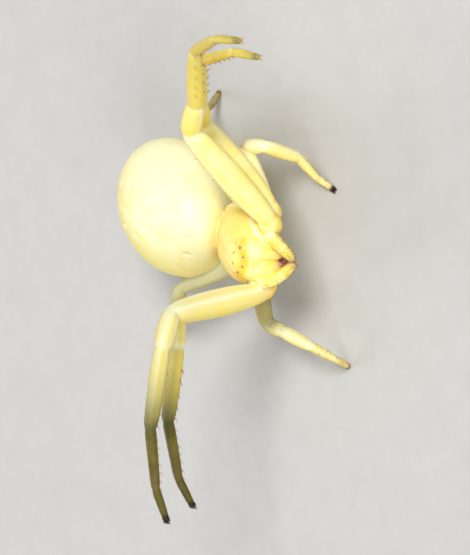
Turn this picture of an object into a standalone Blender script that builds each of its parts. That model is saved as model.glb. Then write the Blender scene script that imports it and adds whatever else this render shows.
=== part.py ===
"""A crab spider at life size, standing still with its long front legs held wide open.

The model is made in millimetres and scaled to metres at the end. The spider faces -Y, its
left side is +X and +Z is up. Body parts are placed in the body's own frame, whose origin is
the middle of the carapace and whose nose is tipped up; legs are laid out from there in the
upright frame, segment by segment. Neighbours are parted by a thin even gap.
"""
import math

import bmesh
import bpy
from mathutils import Matrix, Vector

# Units and the gap left between neighbouring pieces; where the abdomen rests over the carapace
# it is cut a little wider, as both surfaces curve there.
METRES_PER_MM = 0.001
GAP = 0.1
SADDLE_GAP = 0.2
EYE_GAP = 0.03

# The stance: how high the carapace is carried, how far the nose is tipped up, and how the body
# sits between the feet: shifted a little, turned in degrees to its right and leaning that way.
CARAPACE_HEIGHT = 3.6
NOSE_UP = 18.0
BODY_OFFSET = (0.13, 0.05, 0.02)
BODY_TURN = 6.0
BODY_LEAN = 4.0

# The carapace and sternum, in the body frame.
CARAPACE_FRONT = -1.57
CARAPACE_REAR = 1.57
CARAPACE_HALF_WIDTH = 1.34
CARAPACE_TOP = 0.6
STERNUM_BOTTOM = -1.12
EDGE_LEVEL = -0.25

# How the carapace fills out: where it is widest, how square its outline is, how much its head
# is narrowed and over what share of its length, and how high its back starts in front.
OUTLINE_SHIFT = 0.79
OUTLINE_POWER = 0.4
HEAD_NARROWING = 0.36
HEAD_SHARE = 0.5
BACK_START = 0.2
BACK_POWER = 0.5
FLANK_POWER = 0.85
BELLY_FLANK_POWER = 1.3
BELLY_POWER = 0.8
FACE_LEVEL = 0.05

# The abdomen, an egg that is widest behind its middle.
ABDOMEN_CENTRE = (-0.15, 4.3, 0.46)
ABDOMEN_HALF_LENGTH = 3.18
ABDOMEN_HALF_WIDTH = 2.5
ABDOMEN_HALF_HEIGHT = 2.05
ABDOMEN_REAR_SWELL = 0.02
ABDOMEN_TURN = 5.9
ABDOMEN_DROOP = 1.3

# Where each pair of legs leaves the sternum and where its femur starts, on the left side.
COXA_START = {1: (0.63, -0.6, -0.85), 2: (0.76, -0.22, -0.95),
              3: (0.74, 0.18, -0.98), 4: (0.6, 0.75, -0.92)}
LEG_ROOT = {1: (1.44, -1.17, -0.73), 2: (1.75, -0.64, -0.96),
            3: (1.68, -0.02, -1.07), 4: (1.2, 1.1, -0.82)}
COXA_RADIUS = {1: 0.44, 2: 0.46, 3: 0.42, 4: 0.44}

# Lengths of femur, patella, tibia, metatarsus and tarsus.
SEGMENTS = ("femur", "patella", "tibia", "metatarsus", "tarsus")
LENGTHS = {1: (4.8, 1.4, 3.0, 2.4, 1.35), 2: (4.1, 1.3, 2.75, 2.2, 1.25),
           3: (2.3, 0.95, 1.7, 1.1, 0.85), 4: (2.9, 1.0, 1.9, 1.3, 0.9)}

# Radii along each segment as (share of its length, radius), for the thick and the thin legs.
STOUT_RADII = {
    "femur": ((0.0, 0.34), (0.2, 0.46), (0.45, 0.53), (0.75, 0.49), (1.0, 0.38)),
    "patella": ((0.0, 0.36), (0.5, 0.42), (1.0, 0.34)),
    "tibia": ((0.0, 0.31), (0.35, 0.33), (1.0, 0.26)),
    "metatarsus": ((0.0, 0.25), (0.5, 0.25), (1.0, 0.25)),
    "tarsus": ((0.0, 0.25), (0.7, 0.17), (1.0, 0.08)),
}
SLIM_RADII = {
    "femur": ((0.0, 0.3), (0.3, 0.36), (0.7, 0.33), (1.0, 0.28)),
    "patella": ((0.0, 0.27), (0.5, 0.3), (1.0, 0.26)),
    "tibia": ((0.0, 0.25), (0.4, 0.27), (1.0, 0.25)),
    "metatarsus": ((0.0, 0.25), (0.5, 0.25), (1.0, 0.25)),
    "tarsus": ((0.0, 0.25), (0.6, 0.19), (1.0, 0.14)),
}
LEG_RADII = {1: STOUT_RADII, 2: STOUT_RADII, 3: SLIM_RADII, 4: SLIM_RADII}

# Each segment's heading and rise in degrees: heading 0 is straight ahead, 90 is out to the
# leg's own side and 180 is straight back; rise is above the level.
POSE = {
    ("left", 1): ((120, 36), (66, 15.5), (68, 27), (28.5, 24.5), (11.5, 3)),
    ("left", 2): ((133, 21.5), (64.5, 33.5), (62, 29.5), (24, 8), (5.5, -1.5)),
    ("left", 3): ((126, 0.5), (16, -4.5), (-59.5, -67.5), (-63.5, -38.5), (-33, -31)),
    ("left", 4): ((127.5, 26), (159, -36.5), (164, -46), (199, -63.5), (126.5, -55.5)),
    ("right", 1): ((122, 87.5), (68, 33), (79, 15.5), (83, -7.5), (76, -18.5)),
    ("right", 2): ((149, 80), (69.5, 9.5), (77.5, 14), (65.5, 2), (71.5, -25.5)),
    ("right", 3): ((104.5, -31), (0.5, 4), (2.5, 7), (33.5, -42.5), (87.5, -62)),
    ("right", 4): ((145.5, 14), (127.5, -19.5), (131.5, -43), (142.5, -29.5), (137.5, -58)),
}
SIDES = {"left": 1, "right": -1}
SEGMENT_CAP = 45.0
COXA_TAPER = 0.85

# Spines in two rows under the long front legs: how many to a row, their length, their radius at
# the root, and in degrees how far the rows are apart and how far each spine stands off the leg.
SPINY_PAIRS = (1, 2)
HIND_PAIR = 4
SPINES = {"tibia": (4, 0.42), "metatarsus": (6, 0.36)}
SPINE_SHARES = (0.22, 0.9)
SPINE_RADIUS = 0.07
SPINE_ROW_ANGLE = 32.0
SPINE_RISE = 55.0
SPINE_SIDES = 4

# The pair of claws on each free foot.
CLAW_LENGTH = 0.26
CLAW_RADIUS = 0.065
CLAW_SPREAD = 16.0
CLAW_DROP = 30.0

# Jaws, fangs and palps, in the body frame on the left side.
CHELICERA_TOP = (0.37, -1.3, -0.18)
CHELICERA_TIP = (0.22, -1.55, -1.03)
CHELICERA_RADII = ((0.0, 0.35), (0.45, 0.34), (1.0, 0.25))
FANG_PATH = ((0.24, -1.58, -1.14), (0.2, -1.66, -1.36), (0.11, -1.62, -1.48))
FANG_RADII = (0.13, 0.1, 0.05)
PALP_PATH = {
    "left": ((0.7, -1.15, -0.5), (1.0, -1.6, -0.58), (0.66, -1.95, -0.78), (0.19, -2.15, -1.29)),
    "right": ((0.7, -1.15, -0.5), (0.9, -1.6, -0.44), (0.45, -2.0, -0.92), (0.02, -2.06, -1.46)),
}
PALP_BASE_RADII = ((0.0, 0.25), (0.5, 0.25), (1.0, 0.25))
PALP_TIP_RADII = ((0.0, 0.25), (0.5, 0.21), (1.0, 0.1))
MIDDLE_WALL_REACH = 3.0

# Eyes, in the body frame on the left side: centre and radius.
EYES = {
    "front_inner_eye": ((0.19, -1.331, 0.396), 0.085),
    "front_outer_eye": ((0.49, -1.119, 0.43), 0.105),
    "rear_inner_eye": ((0.22, -0.89, 0.57), 0.08),
    "rear_outer_eye": ((0.59, -0.88, 0.478), 0.085),
}

# The stalk between the two halves of the body, and the spinnerets at the rear.
PEDICEL_START = (0.0, 1.15, -0.4)
PEDICEL_END = (-0.1, 2.2, -0.2)
PEDICEL_RADIUS = 0.27
SPINNERET_ALONG = 152.0
SPINNERET_LENGTH = 0.62
SPINNERET_RADII = ((0.0, 0.27), (0.7, 0.216), (1.0, 0.108))
SPINNERETS = ((0.3, -62.0), (-0.3, -62.0), (0.0, -44.0))

# Facets.
BODY_RINGS = 18
BODY_SIDES = 28
LEG_SIDES = 10
EYE_SIDES = 12
EYE_DEPTH = 0.01
SHARP_ANGLE = 40.0

# Finishes: base colour, roughness.
FINISHES = {
    "carapace_yellow": ((0.86, 0.63, 0.22), 0.42),
    "abdomen_cream": ((0.93, 0.84, 0.42), 0.5),
    "leg_yellow": ((0.9, 0.72, 0.24), 0.42),
    "foot_amber": ((0.62, 0.4, 0.16), 0.5),
    "eye_brown": ((0.09, 0.025, 0.012), 0.15),
    "fang_maroon": ((0.22, 0.04, 0.05), 0.3),
}


def clear_scene():
    """Remove whatever the opened file holds."""
    for item in list(bpy.data.objects):
        bpy.data.objects.remove(item, do_unlink=True)


def make_finishes():
    """One Principled material for each finish."""
    made = {}
    for name, (colour, roughness) in FINISHES.items():
        material = bpy.data.materials.new(name)
        material.use_nodes = True
        shader = material.node_tree.nodes["Principled BSDF"]
        shader.inputs["Base Color"].default_value = (*colour, 1.0)
        shader.inputs["Roughness"].default_value = roughness
        shader.inputs["Metallic"].default_value = 0.0
        made[name] = material
    return made


BODY = (Matrix.Translation((0, 0, CARAPACE_HEIGHT))
        @ Matrix.Rotation(-math.radians(NOSE_UP), 4, "X")
        @ Matrix.Translation(BODY_OFFSET)
        @ Matrix.Rotation(-math.radians(BODY_TURN), 4, "Z")
        @ Matrix.Rotation(-math.radians(BODY_LEAN), 4, "Y"))


def from_body(point, side=1):
    """A point of the body frame in the upright frame; side -1 mirrors it to the right."""
    return BODY @ Vector((side * point[0], point[1], point[2]))


def direction(heading, rise, side):
    """The unit vector of a leg segment."""
    level = math.cos(math.radians(rise))
    return Vector((side * level * math.sin(math.radians(heading)),
                   -level * math.cos(math.radians(heading)),
                   math.sin(math.radians(rise))))


def closed_mesh(name, rings, first_pole, last_pole):
    """A closed surface through rings of points, ended by a pole at each end."""
    shape = bmesh.new()
    loops = [[shape.verts.new(point) for point in ring] for ring in rings]
    for near, far in zip(loops, loops[1:]):
        for index, corner in enumerate(near):
            after = (index + 1) % len(near)
            shape.faces.new((corner, near[after], far[after], far[index]))
    for loop, pole in ((loops[0][::-1], first_pole), (loops[-1], last_pole)):
        centre = shape.verts.new(pole)
        for index, corner in enumerate(loop):
            shape.faces.new((centre, corner, loop[(index + 1) % len(loop)]))
    bmesh.ops.triangulate(shape, faces=shape.faces[:])
    bmesh.ops.recalc_face_normals(shape, faces=shape.faces[:])
    mesh = bpy.data.meshes.new(name)
    shape.to_mesh(mesh)
    shape.free()
    piece = bpy.data.objects.new(name, mesh)
    bpy.context.scene.collection.objects.link(piece)
    return piece


def spindle(name, start, end, radii, grow=0.0, sides=LEG_SIDES):
    """A limb segment: a rounded rod whose radius follows its length, swollen by grow."""
    start, end = Vector(start), Vector(end)
    along = (end - start).normalized()
    across = along.cross(Vector((0, 0, 1)) if abs(along.z) < 0.9 else Vector((0, 1, 0))).normalized()
    up = across.cross(along)
    length = (end - start).length
    stations = []
    cap = math.radians(SEGMENT_CAP)
    first, last = radii[0][1] + grow, radii[-1][1] + grow
    stations.append((-first * math.sin(cap), first * math.cos(cap)))
    stations += [(share * length, radius + grow) for share, radius in radii]
    stations.append((length + last * math.sin(cap), last * math.cos(cap)))
    rings = []
    for distance, radius in stations:
        centre = start + along * distance
        ring = []
        for index in range(sides):
            turn = 2 * math.pi * index / sides
            ring.append(centre + across * (radius * math.cos(turn)) + up * (radius * math.sin(turn)))
        rings.append(ring)
    return closed_mesh(name, rings, start - along * first, end + along * last)


def carapace_section(share):
    """One cross-section of the carapace and sternum, at a share of its length."""
    y = CARAPACE_FRONT + (CARAPACE_REAR - CARAPACE_FRONT) * share
    swell = math.sin(math.pi * share ** OUTLINE_SHIFT) ** OUTLINE_POWER
    narrowing = HEAD_NARROWING * max(0.0, 1 - share / HEAD_SHARE) ** 2
    half = CARAPACE_HALF_WIDTH * (swell - narrowing * swell ** 3)
    back = math.sin(math.pi * (BACK_START + (1 - BACK_START) * share)) ** BACK_POWER
    top = CARAPACE_TOP * back * min(1.0, swell + 0.1)
    bottom = STERNUM_BOTTOM * swell ** BELLY_POWER
    ring = []
    for index in range(BODY_SIDES):
        turn = 2 * math.pi * index / BODY_SIDES
        reach, lift = math.cos(turn), math.sin(turn)
        if lift >= 0:
            x = half * abs(reach) ** FLANK_POWER
            z = EDGE_LEVEL + (top - EDGE_LEVEL) * lift
        else:
            x = half * abs(reach) ** BELLY_FLANK_POWER
            z = EDGE_LEVEL + (bottom - EDGE_LEVEL) * abs(lift) ** BELLY_POWER
        ring.append(from_body((math.copysign(x, reach), y, z)))
    return ring


def carapace_shape(name, grow=0.0):
    """The carapace with the sternum under it, its surface pushed outwards by grow."""
    rings = []
    for index in range(BODY_RINGS):
        share = 0.5 - 0.5 * math.cos(math.pi * (index + 0.7) / (BODY_RINGS + 0.4))
        rings.append(carapace_section(share))
    front = from_body((0, CARAPACE_FRONT, FACE_LEVEL))
    rear = from_body((0, CARAPACE_REAR, EDGE_LEVEL))
    shape = closed_mesh(name, rings, front, rear)
    outward = [Vector(vertex.normal) for vertex in shape.data.vertices]
    for vertex, normal in zip(shape.data.vertices, outward):
        vertex.co += normal * grow
    return shape


ABDOMEN = (BODY @ Matrix.Translation(ABDOMEN_CENTRE)
           @ Matrix.Rotation(-math.radians(ABDOMEN_TURN), 4, "Z")
           @ Matrix.Rotation(-math.radians(ABDOMEN_DROOP), 4, "X"))


def abdomen_point(along, turn, grow=0.0):
    """A point of the abdomen's surface: along runs from 0 in front to 180 at the rear."""
    reach = math.sin(math.radians(along))
    back = -math.cos(math.radians(along))
    swell = 1 + ABDOMEN_REAR_SWELL * back
    return ABDOMEN @ Vector(((ABDOMEN_HALF_WIDTH + grow) * reach * swell * math.cos(turn),
                             (ABDOMEN_HALF_LENGTH + grow) * back,
                             (ABDOMEN_HALF_HEIGHT + grow) * reach * swell * math.sin(turn)))


def abdomen_shape(name, grow=0.0):
    """The egg of the abdomen."""
    rings = []
    for index in range(BODY_RINGS):
        along = 180 * (index + 0.75) / (BODY_RINGS + 0.5)
        turns = [2 * math.pi * step / BODY_SIDES for step in range(BODY_SIDES)]
        rings.append([abdomen_point(along, turn, grow) for turn in turns])
    return closed_mesh(name, rings, abdomen_point(0, 0, grow), abdomen_point(180, 0, grow))


def combine(piece, others, operation):
    """Join other closed shapes to a piece, or cut them from it, and remove them."""
    group = bpy.data.collections.new(piece.name + "_tools")
    bpy.context.scene.collection.children.link(group)
    for other in others:
        group.objects.link(other)
        other.hide_render = True
        other.display_type = "WIRE"
    step = piece.modifiers.new(operation.lower(), "BOOLEAN")
    step.operand_type = "COLLECTION"
    step.collection = group
    step.operation = operation
    step.solver = "EXACT"
    graph = bpy.context.evaluated_depsgraph_get()
    shaped = bpy.data.meshes.new_from_object(piece.evaluated_get(graph))
    piece.modifiers.clear()
    old = piece.data
    piece.data = shaped
    bpy.data.meshes.remove(old)
    for other in others:
        bpy.data.objects.remove(other, do_unlink=True)
    bpy.data.collections.remove(group)
    keep_largest(piece)


def keep_largest(piece):
    """Keep the largest closed surface of a piece and drop loose scraps."""
    shape = bmesh.new()
    shape.from_mesh(piece.data)
    left = set(shape.faces)
    groups = []
    while left:
        queue = [left.pop()]
        group = []
        while queue:
            face = queue.pop()
            group.append(face)
            for edge in face.edges:
                for neighbour in edge.link_faces:
                    if neighbour in left:
                        left.remove(neighbour)
                        queue.append(neighbour)
        groups.append(group)
    groups.sort(key=lambda group: sum(face.calc_area() for face in group))
    scraps = [face for group in groups[:-1] for face in group]
    bmesh.ops.delete(shape, geom=scraps, context="FACES")
    bmesh.ops.triangulate(shape, faces=shape.faces[:])
    shape.to_mesh(piece.data)
    shape.free()


def finish(piece, material):
    """Give a piece its finish and shade it smooth across gentle edges."""
    piece.data.materials.clear()
    piece.data.materials.append(material)
    piece.data.shade_smooth()
    piece.data.set_sharp_from_angle(angle=math.radians(SHARP_ANGLE))


def leg_joints(side, pair):
    """The joint centres of a leg, from the femur's start to the claws."""
    point = from_body(LEG_ROOT[pair], SIDES[side])
    joints = [point]
    for length, (heading, rise) in zip(LENGTHS[pair], POSE[(side, pair)]):
        point = point + direction(heading, rise, SIDES[side]) * length
        joints.append(point)
    return joints


def coxa_shape(name, side, pair, grow=0.0):
    """The first short segment, from the sternum's flank to where the femur starts."""
    start = from_body(COXA_START[pair], SIDES[side])
    end = from_body(LEG_ROOT[pair], SIDES[side])
    radius = COXA_RADIUS[pair]
    radii = ((0.0, radius * COXA_TAPER), (0.5, radius), (1.0, radius * COXA_TAPER))
    return spindle(name, start, end, radii, grow)


def upper_leg(side, pair, grow):
    """The coxa and the femur of a leg, swollen by grow, to cut its neighbours with."""
    joints = leg_joints(side, pair)
    femur = spindle("grown_femur", joints[0], joints[1], LEG_RADII[pair]["femur"], grow)
    return [coxa_shape("grown_coxa", side, pair, grow), femur]


def radius_at(radii, share):
    """The radius of a segment at a share of its length."""
    for (near, near_radius), (far, far_radius) in zip(radii, radii[1:]):
        if share <= far:
            return near_radius + (far_radius - near_radius) * (share - near) / (far - near)
    return radii[-1][1]


def thorn(name, root, tip, radius):
    """A tapered spine with a round root, a few facets about it and a point."""
    along = (tip - root).normalized()
    across = along.orthogonal().normalized()
    up = along.cross(across)
    ring = []
    for index in range(SPINE_SIDES):
        turn = 2 * math.pi * index / SPINE_SIDES
        ring.append(root + across * (radius * math.cos(turn)) + up * (radius * math.sin(turn)))
    return closed_mesh(name, [ring], root - along * radius, tip)


def leg_spines(side, pair, index):
    """The two rows of spines under one segment of a leg, each rooted inside it."""
    joints = leg_joints(side, pair)
    segment = joints[index + 1] - joints[index]
    along = segment.normalized()
    onward = (joints[index + 2] - joints[index + 1]).normalized()
    under = (onward - along * onward.dot(along)).normalized()
    across = along.cross(under)
    radii = LEG_RADII[pair][SEGMENTS[index]]
    count, length = SPINES[SEGMENTS[index]]
    spread, rise = math.radians(SPINE_ROW_ANGLE), math.radians(SPINE_RISE)
    made = []
    for row in (-1, 1):
        out = under * math.cos(spread) + across * (row * math.sin(spread))
        for step in range(count):
            share = SPINE_SHARES[0] + (SPINE_SHARES[1] - SPINE_SHARES[0]) * step / (count - 1)
            middle = joints[index] + segment * share
            root = middle + out * (radius_at(radii, share) - SPINE_RADIUS)
            tip = root + (out * math.sin(rise) + along * math.cos(rise)) * (length + SPINE_RADIUS)
            made.append(thorn("spine", root, tip, SPINE_RADIUS))
    return made


def foot_claws(side, pair):
    """The two claws that hook down from the end of a free foot."""
    joints = leg_joints(side, pair)
    along = (joints[-1] - joints[-2]).normalized()
    down = Vector((0, 0, -1))
    under = (down - along * down.dot(along)).normalized()
    across = along.cross(under)
    spread, drop = math.radians(CLAW_SPREAD), math.radians(CLAW_DROP)
    made = []
    for claw in (-1, 1):
        ahead = along * math.cos(spread) + across * (claw * math.sin(spread))
        out = ahead * math.cos(drop) + under * math.sin(drop)
        made.append(thorn("claw", joints[-1], joints[-1] + out * CLAW_LENGTH, CLAW_RADIUS))
    return made


def build_leg(side, pair, finishes):
    """Coxa, femur, tibia with its patella, and foot, each parted from its neighbours."""
    label = "leg_{}_{}".format(side, pair)
    joints = leg_joints(side, pair)
    radii = LEG_RADII[pair]

    def segment(index, name, grow=0.0):
        return spindle(name, joints[index], joints[index + 1], radii[SEGMENTS[index]], grow)

    coxa = coxa_shape(label + "_coxa", side, pair)
    femur = segment(0, label + "_femur")
    combine(femur, [coxa_shape("grown_coxa", side, pair, GAP)], "DIFFERENCE")
    for piece in (coxa, femur):
        combine(piece, [carapace_shape("grown_body", GAP)], "DIFFERENCE")
        for shape in upper_leg(side, pair - 1, GAP) if pair > 1 else []:
            combine(piece, [shape], "DIFFERENCE")
        if pair == HIND_PAIR:
            combine(piece, [abdomen_shape("grown_abdomen", GAP)], "DIFFERENCE")
    shank_parts, foot_parts = [segment(2, "tibia")], [segment(4, "tarsus")]
    if pair in SPINY_PAIRS:
        shank_parts += leg_spines(side, pair, SEGMENTS.index("tibia"))
        foot_parts += leg_spines(side, pair, SEGMENTS.index("metatarsus"))
        foot_parts += foot_claws(side, pair)
    shank = segment(1, label + "_tibia")
    combine(shank, shank_parts, "UNION")
    combine(shank, [segment(0, "grown_femur", GAP)], "DIFFERENCE")
    foot = segment(3, label + "_foot")
    combine(foot, foot_parts, "UNION")
    combine(foot, [segment(2, "grown_tibia", GAP)], "DIFFERENCE")
    for piece in (coxa, femur, shank):
        finish(piece, finishes["leg_yellow"])
    finish(foot, finishes["foot_amber"])
    return [coxa, femur, shank, foot]


def flatten_foot(piece):
    """Cut a foot that stands on the ground off flat at the ground's level."""
    shape = bmesh.new()
    shape.from_mesh(piece.data)
    bmesh.ops.bisect_plane(shape, geom=shape.verts[:] + shape.edges[:] + shape.faces[:],
                           plane_co=(0, 0, 0), plane_no=(0, 0, -1), clear_outer=True)
    rim = [edge for edge in shape.edges if edge.is_boundary]
    bmesh.ops.edgenet_fill(shape, edges=rim)
    bmesh.ops.triangulate(shape, faces=shape.faces[:])
    bmesh.ops.recalc_face_normals(shape, faces=shape.faces[:])
    shape.to_mesh(piece.data)
    shape.free()


def build_body(finishes):
    """The carapace, the abdomen, the stalk between them and the spinnerets."""
    carapace = carapace_shape("carapace")
    abdomen = abdomen_shape("abdomen")
    combine(abdomen, [carapace_shape("grown_body", SADDLE_GAP)], "DIFFERENCE")
    pedicel = spindle("pedicel", from_body(PEDICEL_START), from_body(PEDICEL_END),
                      ((0.0, PEDICEL_RADIUS), (1.0, PEDICEL_RADIUS)))
    combine(pedicel, [carapace_shape("grown_body", GAP)], "DIFFERENCE")
    combine(pedicel, [abdomen_shape("grown_abdomen", GAP)], "DIFFERENCE")
    cones = []
    turning = ABDOMEN.to_3x3()
    for index, (across, turn) in enumerate(SPINNERETS):
        turn = math.radians(turn)
        out = turning @ Vector((0, math.cos(turn), math.sin(turn)))
        root = abdomen_point(SPINNERET_ALONG, math.radians(-90)) + turning @ Vector((across, 0, 0))
        half = out * (SPINNERET_LENGTH / 2)
        cones.append(spindle("spinneret_{}".format(index), root - half, root + half, SPINNERET_RADII))
    spinnerets = cones[0]
    spinnerets.name = "spinnerets"
    combine(spinnerets, cones[1:], "UNION")
    combine(spinnerets, [abdomen_shape("grown_abdomen", GAP)], "DIFFERENCE")
    finish(carapace, finishes["carapace_yellow"])
    finish(abdomen, finishes["abdomen_cream"])
    finish(pedicel, finishes["carapace_yellow"])
    finish(spinnerets, finishes["carapace_yellow"])
    return [carapace, abdomen, pedicel, spinnerets]


def chelicera_shape(name, side, grow=0.0):
    """One jaw."""
    return spindle(name, from_body(CHELICERA_TOP, SIDES[side]), from_body(CHELICERA_TIP, SIDES[side]),
                   CHELICERA_RADII, grow)


def middle_wall():
    """A thin upright wall in the body's middle plane, to part what lies on its two sides."""
    corners = ((-1, -1), (1, -1), (1, 1), (-1, 1))
    faces = []
    for x in (-GAP / 2, GAP / 2):
        faces.append([from_body((x, y * MIDDLE_WALL_REACH, z * MIDDLE_WALL_REACH)) for y, z in corners])
    return closed_mesh("middle_wall", faces, from_body((-GAP / 2, 0, 0)), from_body((GAP / 2, 0, 0)))


def palp_shape(name, side, part, grow=0.0):
    """One of the three lengths of a palp."""
    radii = PALP_TIP_RADII if part == 2 else PALP_BASE_RADII
    start, end = (from_body(point, SIDES[side]) for point in PALP_PATH[side][part:part + 2])
    return spindle(name, start, end, radii, grow)


def build_mouth(side, finishes):
    """A jaw with its fang, and the palp beside it."""
    jaw = chelicera_shape("chelicera_" + side, side)
    combine(jaw, [carapace_shape("grown_body", GAP)], "DIFFERENCE")
    combine(jaw, [middle_wall()], "DIFFERENCE")
    root, bend, point = (from_body(place, SIDES[side]) for place in FANG_PATH)
    fang = spindle("fang_" + side, root, bend, ((0.0, FANG_RADII[0]), (1.0, FANG_RADII[1])))
    tip = spindle("fang_tip", bend, point, ((0.0, FANG_RADII[1]), (1.0, FANG_RADII[2])))
    combine(fang, [tip], "UNION")
    combine(fang, [chelicera_shape("grown_jaw", side, GAP)], "DIFFERENCE")
    base = palp_shape("palp_{}_base".format(side), side, 0)
    combine(base, [palp_shape("palp_middle", side, 1)], "UNION")
    combine(base, [carapace_shape("grown_body", GAP)], "DIFFERENCE")
    combine(base, [chelicera_shape("grown_jaw", side, GAP)], "DIFFERENCE")
    for shape in upper_leg(side, 1, GAP):
        combine(base, [shape], "DIFFERENCE")
    end = palp_shape("palp_{}_tip".format(side), side, 2)
    combine(end, [palp_shape("grown_middle", side, 1, GAP)], "DIFFERENCE")
    combine(end, [chelicera_shape("grown_jaw", side, GAP)], "DIFFERENCE")
    for piece in (jaw, base, end):
        finish(piece, finishes["carapace_yellow"])
    finish(fang, finishes["fang_maroon"])
    return [jaw, fang, base, end]


def build_eyes(side, finishes):
    """Four small domes set on the front of the carapace."""
    made = []
    for name, (centre, radius) in EYES.items():
        inner = from_body(centre, SIDES[side])
        outer = inner + BODY.to_3x3() @ Vector((0, -EYE_DEPTH, 0))
        radii = ((0.0, radius), (1.0, radius))
        eye = spindle("{}_{}".format(name, side), inner, outer, radii, sides=EYE_SIDES)
        combine(eye, [carapace_shape("grown_body", EYE_GAP)], "DIFFERENCE")
        finish(eye, finishes["eye_brown"])
        made.append(eye)
    return made


def settle(pieces):
    """Put the origin under the middle of the model and change to metres."""
    points = [piece.matrix_world @ vertex.co for piece in pieces for vertex in piece.data.vertices]
    low = Vector([min(point[axis] for point in points) for axis in range(3)])
    high = Vector([max(point[axis] for point in points) for axis in range(3)])
    middle = Vector(((low.x + high.x) / 2, (low.y + high.y) / 2, low.z))
    change = Matrix.Scale(METRES_PER_MM, 4) @ Matrix.Translation(-middle)
    for piece in pieces:
        piece.data.transform(change)


def main():
    """Build every piece and put the model in its own frame."""
    clear_scene()
    finishes = make_finishes()
    pieces = build_body(finishes)
    for side in SIDES:
        pieces += build_mouth(side, finishes)
        pieces += build_eyes(side, finishes)
        for pair in LENGTHS:
            leg = build_leg(side, pair, finishes)
            if pair > 2:
                flatten_foot(leg[-1])
            pieces += leg
    settle(pieces)


main()
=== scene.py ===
"""The looks of a yellow crab spider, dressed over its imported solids.

Shapes are made in millimetres in the spider's upright frame, where it faces -Y, its left side
is +X and +Z is up, and each finished piece is then moved into the frame's own metres. One soft
skin covers body and limbs. Eyes, fangs, claws, spines and bristles are pieces of their own.
"""

import math
import random
from collections import namedtuple

import bpy
import numpy as np
from mathutils import Matrix, Vector
from mathutils.bvhtree import BVHTree


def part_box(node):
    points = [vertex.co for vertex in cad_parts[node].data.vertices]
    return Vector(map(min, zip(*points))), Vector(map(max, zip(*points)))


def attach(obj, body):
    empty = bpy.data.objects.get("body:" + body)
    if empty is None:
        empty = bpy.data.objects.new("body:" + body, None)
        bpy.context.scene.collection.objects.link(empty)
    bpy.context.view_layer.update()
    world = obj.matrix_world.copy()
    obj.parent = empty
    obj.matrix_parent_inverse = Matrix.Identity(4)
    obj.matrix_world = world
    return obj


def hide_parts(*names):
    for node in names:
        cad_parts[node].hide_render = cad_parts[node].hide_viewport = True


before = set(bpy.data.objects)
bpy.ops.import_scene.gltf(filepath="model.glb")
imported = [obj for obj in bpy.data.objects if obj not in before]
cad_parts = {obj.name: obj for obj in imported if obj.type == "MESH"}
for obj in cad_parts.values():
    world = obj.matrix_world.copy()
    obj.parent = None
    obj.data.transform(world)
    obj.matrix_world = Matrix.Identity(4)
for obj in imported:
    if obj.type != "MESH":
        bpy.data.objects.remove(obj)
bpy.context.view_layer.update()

# Units.
MM = 0.001

# The stance: how high the carapace is carried, how far the nose is tipped up, and how the body
# sits between the feet: shifted a little, turned in degrees to its right and leaning that way.
CARAPACE_HEIGHT = 3.6
NOSE_UP = 18.0
BODY_OFFSET = (0.13, 0.05, 0.02)
BODY_TURN = 6.0
BODY_LEAN = 4.0

# The carapace, in the body frame, whose origin is the middle of the carapace.
CARAPACE_FRONT = -1.57
CARAPACE_REAR = 1.57
CARAPACE_HALF_WIDTH = 1.34
CARAPACE_TOP = 0.6
STERNUM_BOTTOM = -1.12
EDGE_LEVEL = -0.25
OUTLINE_SHIFT = 0.79
OUTLINE_POWER = 0.4
HEAD_NARROWING = 0.36
HEAD_SHARE = 0.5
REAR_FULLNESS = 0.13
REAR_FULLNESS_SPAN = (0.55, 0.85)
TOP_FULLNESS = 0.1
BACK_START = 0.2
BACK_POWER = 0.5
FLANK_POWER = 0.85
BELLY_FLANK_POWER = 1.3
BELLY_POWER = 0.8

# The abdomen, an egg that is widest behind its middle, and the rings and sides of its solid.
ABDOMEN_CENTRE = (-0.15, 4.3, 0.46)
ABDOMEN_HALF_SIZES = (2.5, 3.18, 2.05)
ABDOMEN_REAR_SWELL = 0.02
ABDOMEN_TURN = 5.9
ABDOMEN_DROOP = 1.3
SOLID_RINGS = 18
SOLID_SIDES = 28

# Where each pair of legs leaves the sternum and where its femur starts, on the left side.
COXA_START = {1: (0.63, -0.6, -0.85), 2: (0.76, -0.22, -0.95),
              3: (0.74, 0.18, -0.98), 4: (0.6, 0.75, -0.92)}
LEG_ROOT = {1: (1.44, -1.17, -0.73), 2: (1.75, -0.64, -0.96),
            3: (1.68, -0.02, -1.07), 4: (1.2, 1.1, -0.82)}
TROCHANTER_SHARE = 0.62
# A leg part that runs on into the next one this straight has its back on top.
LEAST_BEND = 0.02

# Lengths of femur, patella, tibia, metatarsus and tarsus.
LEG_PARTS = ("femur", "patella", "tibia", "metatarsus", "tarsus")
LENGTHS = {1: (4.8, 1.4, 3.0, 2.4, 1.35), 2: (4.1, 1.3, 2.75, 2.2, 1.25),
           3: (2.3, 0.95, 1.7, 1.1, 0.85), 4: (2.9, 1.0, 1.9, 1.3, 0.9)}

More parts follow.
